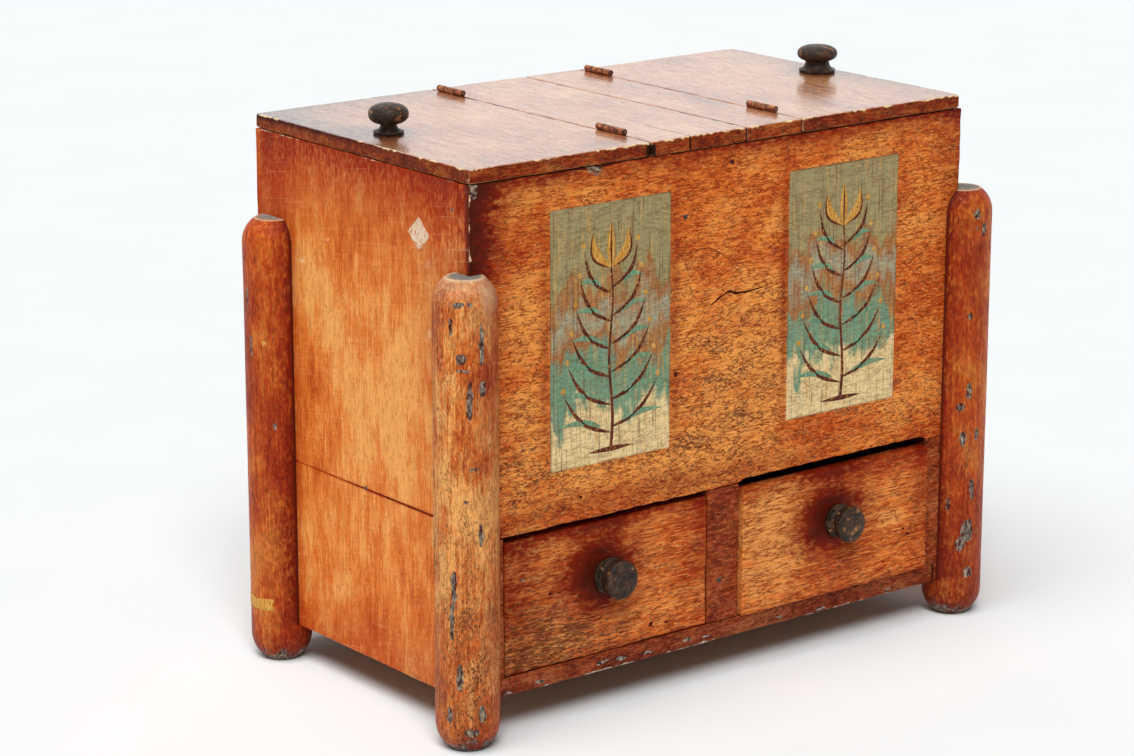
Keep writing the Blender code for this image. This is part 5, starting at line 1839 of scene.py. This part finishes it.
@dataclass
class Fixings:
    """Small things on the case: nail heads, a lozenge-shaped scuff on the side and a dab on a post."""

    posts: Posts
    side_x: float = -0.3789
    front_y: float = -0.1949
    lozenge: Pair = (-0.1, 0.579)  # middle in y and z
    lozenge_half: Pair = (21.0 * MM, 19.0 * MM)
    dab_post: str = "back_left_post"
    dab_span: Pair = (-212.0, -140.0)  # angles from +x in degrees
    dab_height: Pair = (0.069, 0.082)
    dot_height: float = 0.402
    dot_out: Corner = (-0.82, -0.57, 0.0)

    def scuff(self) -> None:
        """Lay the scuff: a square film turned on its corner, with its border shaken by 1 mm."""
        lines = [np.linspace(-1.0, 1.0, 24), np.array((0.0, 1.0)), np.linspace(-1.0, 1.0, 24)]
        shell = box_shell(lines)
        u, depth, v = shell.points.T
        rim = np.maximum(np.abs(u), np.abs(v)) > 0.99
        y = self.lozenge[0] + self.lozenge_half[0] * (u + v) / 2.0
        z = self.lozenge[1] + self.lozenge_half[1] * (v - u) / 2.0
        shake = 1.0 * MM * lattice_noise(np.stack((u, np.zeros(len(u)), v), axis=1), 0.12, 5) * rim
        shell.points = np.stack((self.side_x + 0.6 * MM - 0.75 * MM * depth, y + shake, z - shake), axis=1)
        obj = mesh_object("side_lozenge_scuff", [shell.outward()])
        obj.data.set_sharp_from_angle(angle=CREASE)
        settle(obj, SCUFF_CREAM.material(), "case", "side_paint")

    def dab(self) -> None:
        """Lay the dab: a film bent round the back left post, with its ends shaken by 3 mm."""
        angles = np.radians(np.linspace(*self.dab_span, 30))
        shell = box_shell((angles, np.array((-1.2, 0.15)) * MM, np.linspace(*self.dab_height, 8)))
        angle, out, z = shell.points.T
        shake = lattice_noise(np.stack((angle, np.zeros(len(z)), z / MM), axis=1), (0.2, 1.0, 5.0), 6)
        z = z + 1.5 * MM * shake * np.sign(z - np.mean(self.dab_height))
        ends = np.abs(angle - angle.mean()) > 0.98 * np.abs(angle - angle.mean()).max()
        angle = angle + 0.08 * shake * ends
        reach = self.posts.radius + out
        post = self.posts.places[self.dab_post]
        shell.points = np.stack((post.x + reach * np.cos(angle), post.y + reach * np.sin(angle), z), axis=1)
        obj = mesh_object("back_left_post_dab", [shell.outward()])
        obj.data.set_sharp_from_angle(angle=CREASE)
        settle(obj, SPRIG_PAINTS["ochre"].material(), "case", "post_paint")

    def build(self) -> None:
        """Build the nails, the scuff and the dab."""
        ahead, aside = (0.0, -1.0, 0.0), (-1.0, 0.0, 0.0)
        post = self.posts.places[self.dab_post]
        dot = np.array((post.x, post.y, self.dot_height)) + self.posts.radius * np.array(self.dot_out)
        nails = {
            "front": Nail((-0.0707, self.front_y, 0.5728), ahead, 3.2 * MM),
            "stile": Nail((-0.0133, self.front_y, 0.1226), ahead, 3.4 * MM),
            "side_upper": Nail((self.side_x, -0.1635, 0.617), aside, 2.2 * MM),
            "side_seam": Nail((self.side_x, 0.0113, 0.2565), aside, 2.6 * MM),
            "post_dot": Nail(
                tuple(dot + (0.3 * MM, 0.2 * MM, 0.0)), self.dot_out, 3.0 * MM, SPRIG_PAINTS["ochre"],
                "post_paint"),
        }
        for name, nail in nails.items():
            settle(mesh_object(f"{name}_nail", [nail.shell()]), nail.finish.material(), "case", nail.slot)
        self.scuff()
        self.dab()


@dataclass
class Inside:
    """Solids whose shape is right already: they keep it and get bare pine, iron or steel."""

    wide: tuple[str, ...] = (
        "case_bottom", "bin_floor", "left_drawer_back", "right_drawer_back", "left_drawer_bottom",
        "right_drawer_bottom")
    deep: tuple[str, ...] = (
        "left_guide", "centre_guide", "right_guide", "left_floor_cleat", "right_floor_cleat", "bin_divider",
        "left_drawer_left_side", "left_drawer_right_side", "right_drawer_left_side",
        "right_drawer_right_side")

    def build(self, nodes: dict[str, Piece]) -> None:
        """Give each solid that still shows its finish.

        Args:
            nodes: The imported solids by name.
        """
        choice = {name: PINE_WIDE for name in self.wide} | {name: PINE_DEEP for name in self.deep}
        choice |= {name: HINGE_IRON for name in nodes if name.endswith("_hinge_pin")}
        choice |= {name: SCREW_STEEL for name in nodes if name.endswith("_screw")}
        for name, finish in choice.items():
            for place in nodes[name].material_slots:
                place.material = finish.material()
            LOG.info("%s keeps its solid, in %s", name, finish.name)


@dataclass(frozen=True)
class Lamp:
    """A far soft light: its strength, where it comes from and its spread in degrees."""

    name: str
    energy: float
    come_from: Corner
    spread: float


@dataclass
class Studio:
    """Pale floor, soft light from the upper front and the camera of the photograph."""

    eye: Corner = (-2.5325, -3.1188, 1.4135)
    ahead: Corner = (0.5951, 0.7601, -0.2608)
    lens: float = 108.13
    sensor: float = 36.0
    sky: float = 0.15
    lamps: tuple[Lamp, ...] = (
        Lamp("key", 1.46, (-0.42, -0.1, 1.0), 40.0),
        Lamp("fill", 1.66, (-0.55, -0.85, 1.2), 24.0),
        Lamp("back", 0.15, (0.3, 0.9, 1.0), 60.0))

    def floor(self) -> None:
        """Lay the floor: one square of 60 m, matt and nearly white, that keeps the shadow."""
        points = np.array(((-30.0, -30.0, 0.0), (30.0, -30.0, 0.0), (30.0, 30.0, 0.0), (-30.0, 30.0, 0.0)))
        obj = mesh_object("floor", [Shell(points, np.array(((0, 1, 2, 3),)))])
        tree = Tree(bpy.data.materials.new("pale_matt_floor"))
        cloud = tree.figure(Grain.WIDE, 300.0, 300.0, 3.0)
        colour = tree.add("ValToRGB", {"stops": ((0.3, "#F4F9FA"), (0.7, "#F8FBFC"))}, cloud, "Color")
        settings = {"Roughness": 0.9, "Specular IOR Level": 0.1}
        shader = tree.add("BsdfPrincipled", settings, {"Base Color": colour})
        tree.add("OutputMaterial", links={"Surface": shader})
        obj.data.materials.append(tree.owner)

    def world(self) -> None:
        """Set the soft surround: white to the eye and in reflections, dimmer as light."""
        world = bpy.data.worlds.new("studio")
        bpy.context.scene.world = world
        tree = Tree(world)
        shown = tree.add("LightPath", out="Is Camera Ray")
        for ray in ("Is Glossy Ray", "Is Transmission Ray"):
            shown = tree.add("Math", {"operation": "MAXIMUM"}, {0: shown, 1: tree.add("LightPath", out=ray)})
        strength = tree.add("MapRange", {"To Min": self.sky, "To Max": 1.0}, shown)
        back = tree.add("Background", {"Color": (1.0, 1.0, 1.0, 1.0)}, {"Strength": strength})
        tree.add("OutputWorld", links={"Surface": back})

    def light(self) -> None:
        """Hang the broad soft lights: overhead, at the front left and, weakly, behind the object."""
        for row in self.lamps:
            sun = bpy.data.lights.new(row.name, "SUN")
            sun.energy = row.energy
            sun.angle = math.radians(row.spread)
            lamp = bpy.data.objects.new(row.name, sun)
            lamp.rotation_euler = Vector(row.come_from).to_track_quat("Z", "Y").to_euler()
            bpy.context.scene.collection.objects.link(lamp)

    def camera(self) -> None:
        """Set the camera at the photograph's place and angle."""
        data = bpy.data.cameras.new("camera")
        data.sensor_width = self.sensor
        data.sensor_fit = "HORIZONTAL"
        data.lens = self.lens
        obj = bpy.data.objects.new("camera", data)
        obj.location = self.eye
        obj.rotation_euler = Vector(self.ahead).to_track_quat("-Z", "Y").to_euler()
        bpy.context.scene.collection.objects.link(obj)
        bpy.context.scene.camera = obj

    def build(self) -> None:
        """Set up the whole studio."""
        bpy.context.scene.view_settings.view_transform = "Standard"
        self.floor()
        self.world()
        self.light()
        self.camera()


def main() -> None:
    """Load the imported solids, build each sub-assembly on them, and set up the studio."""
    logging.basicConfig(level=logging.INFO, format="%(name)s: %(message)s")
    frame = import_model()
    hinges = Hinges()
    Case().build()
    Top(hinges).build()
    hinges.build()
    posts = Posts()
    posts.build()
    knobs = {  # height, radius and height of the head, radius of neck and base, height of base, squareness
        "left_lid": (0.035, 0.0235, 0.0246, 0.0097, 0.0178, 0.003, 2.4),
        "right_lid": (0.0341, 0.0253, 0.0212, 0.015, 0.0227, 0.0036, 2.4),
        "left_drawer": (0.03, 0.0232, 0.017, 0.0125, 0.0217, 0.004, 4.5),
        "right_drawer": (0.0295, 0.0222, 0.0165, 0.0125, 0.0205, 0.004, 4.5),
    }
    for body, sizes in knobs.items():
        Knob(f"{body}_knob", body, *sizes, forward=body.endswith("drawer")).build()
    Drawers().build()
    FrontPanels().build()
    Fixings(posts).build()
    Inside().build(frame["nodes"])
    Studio().build()


if __name__ == "__main__":
    main()
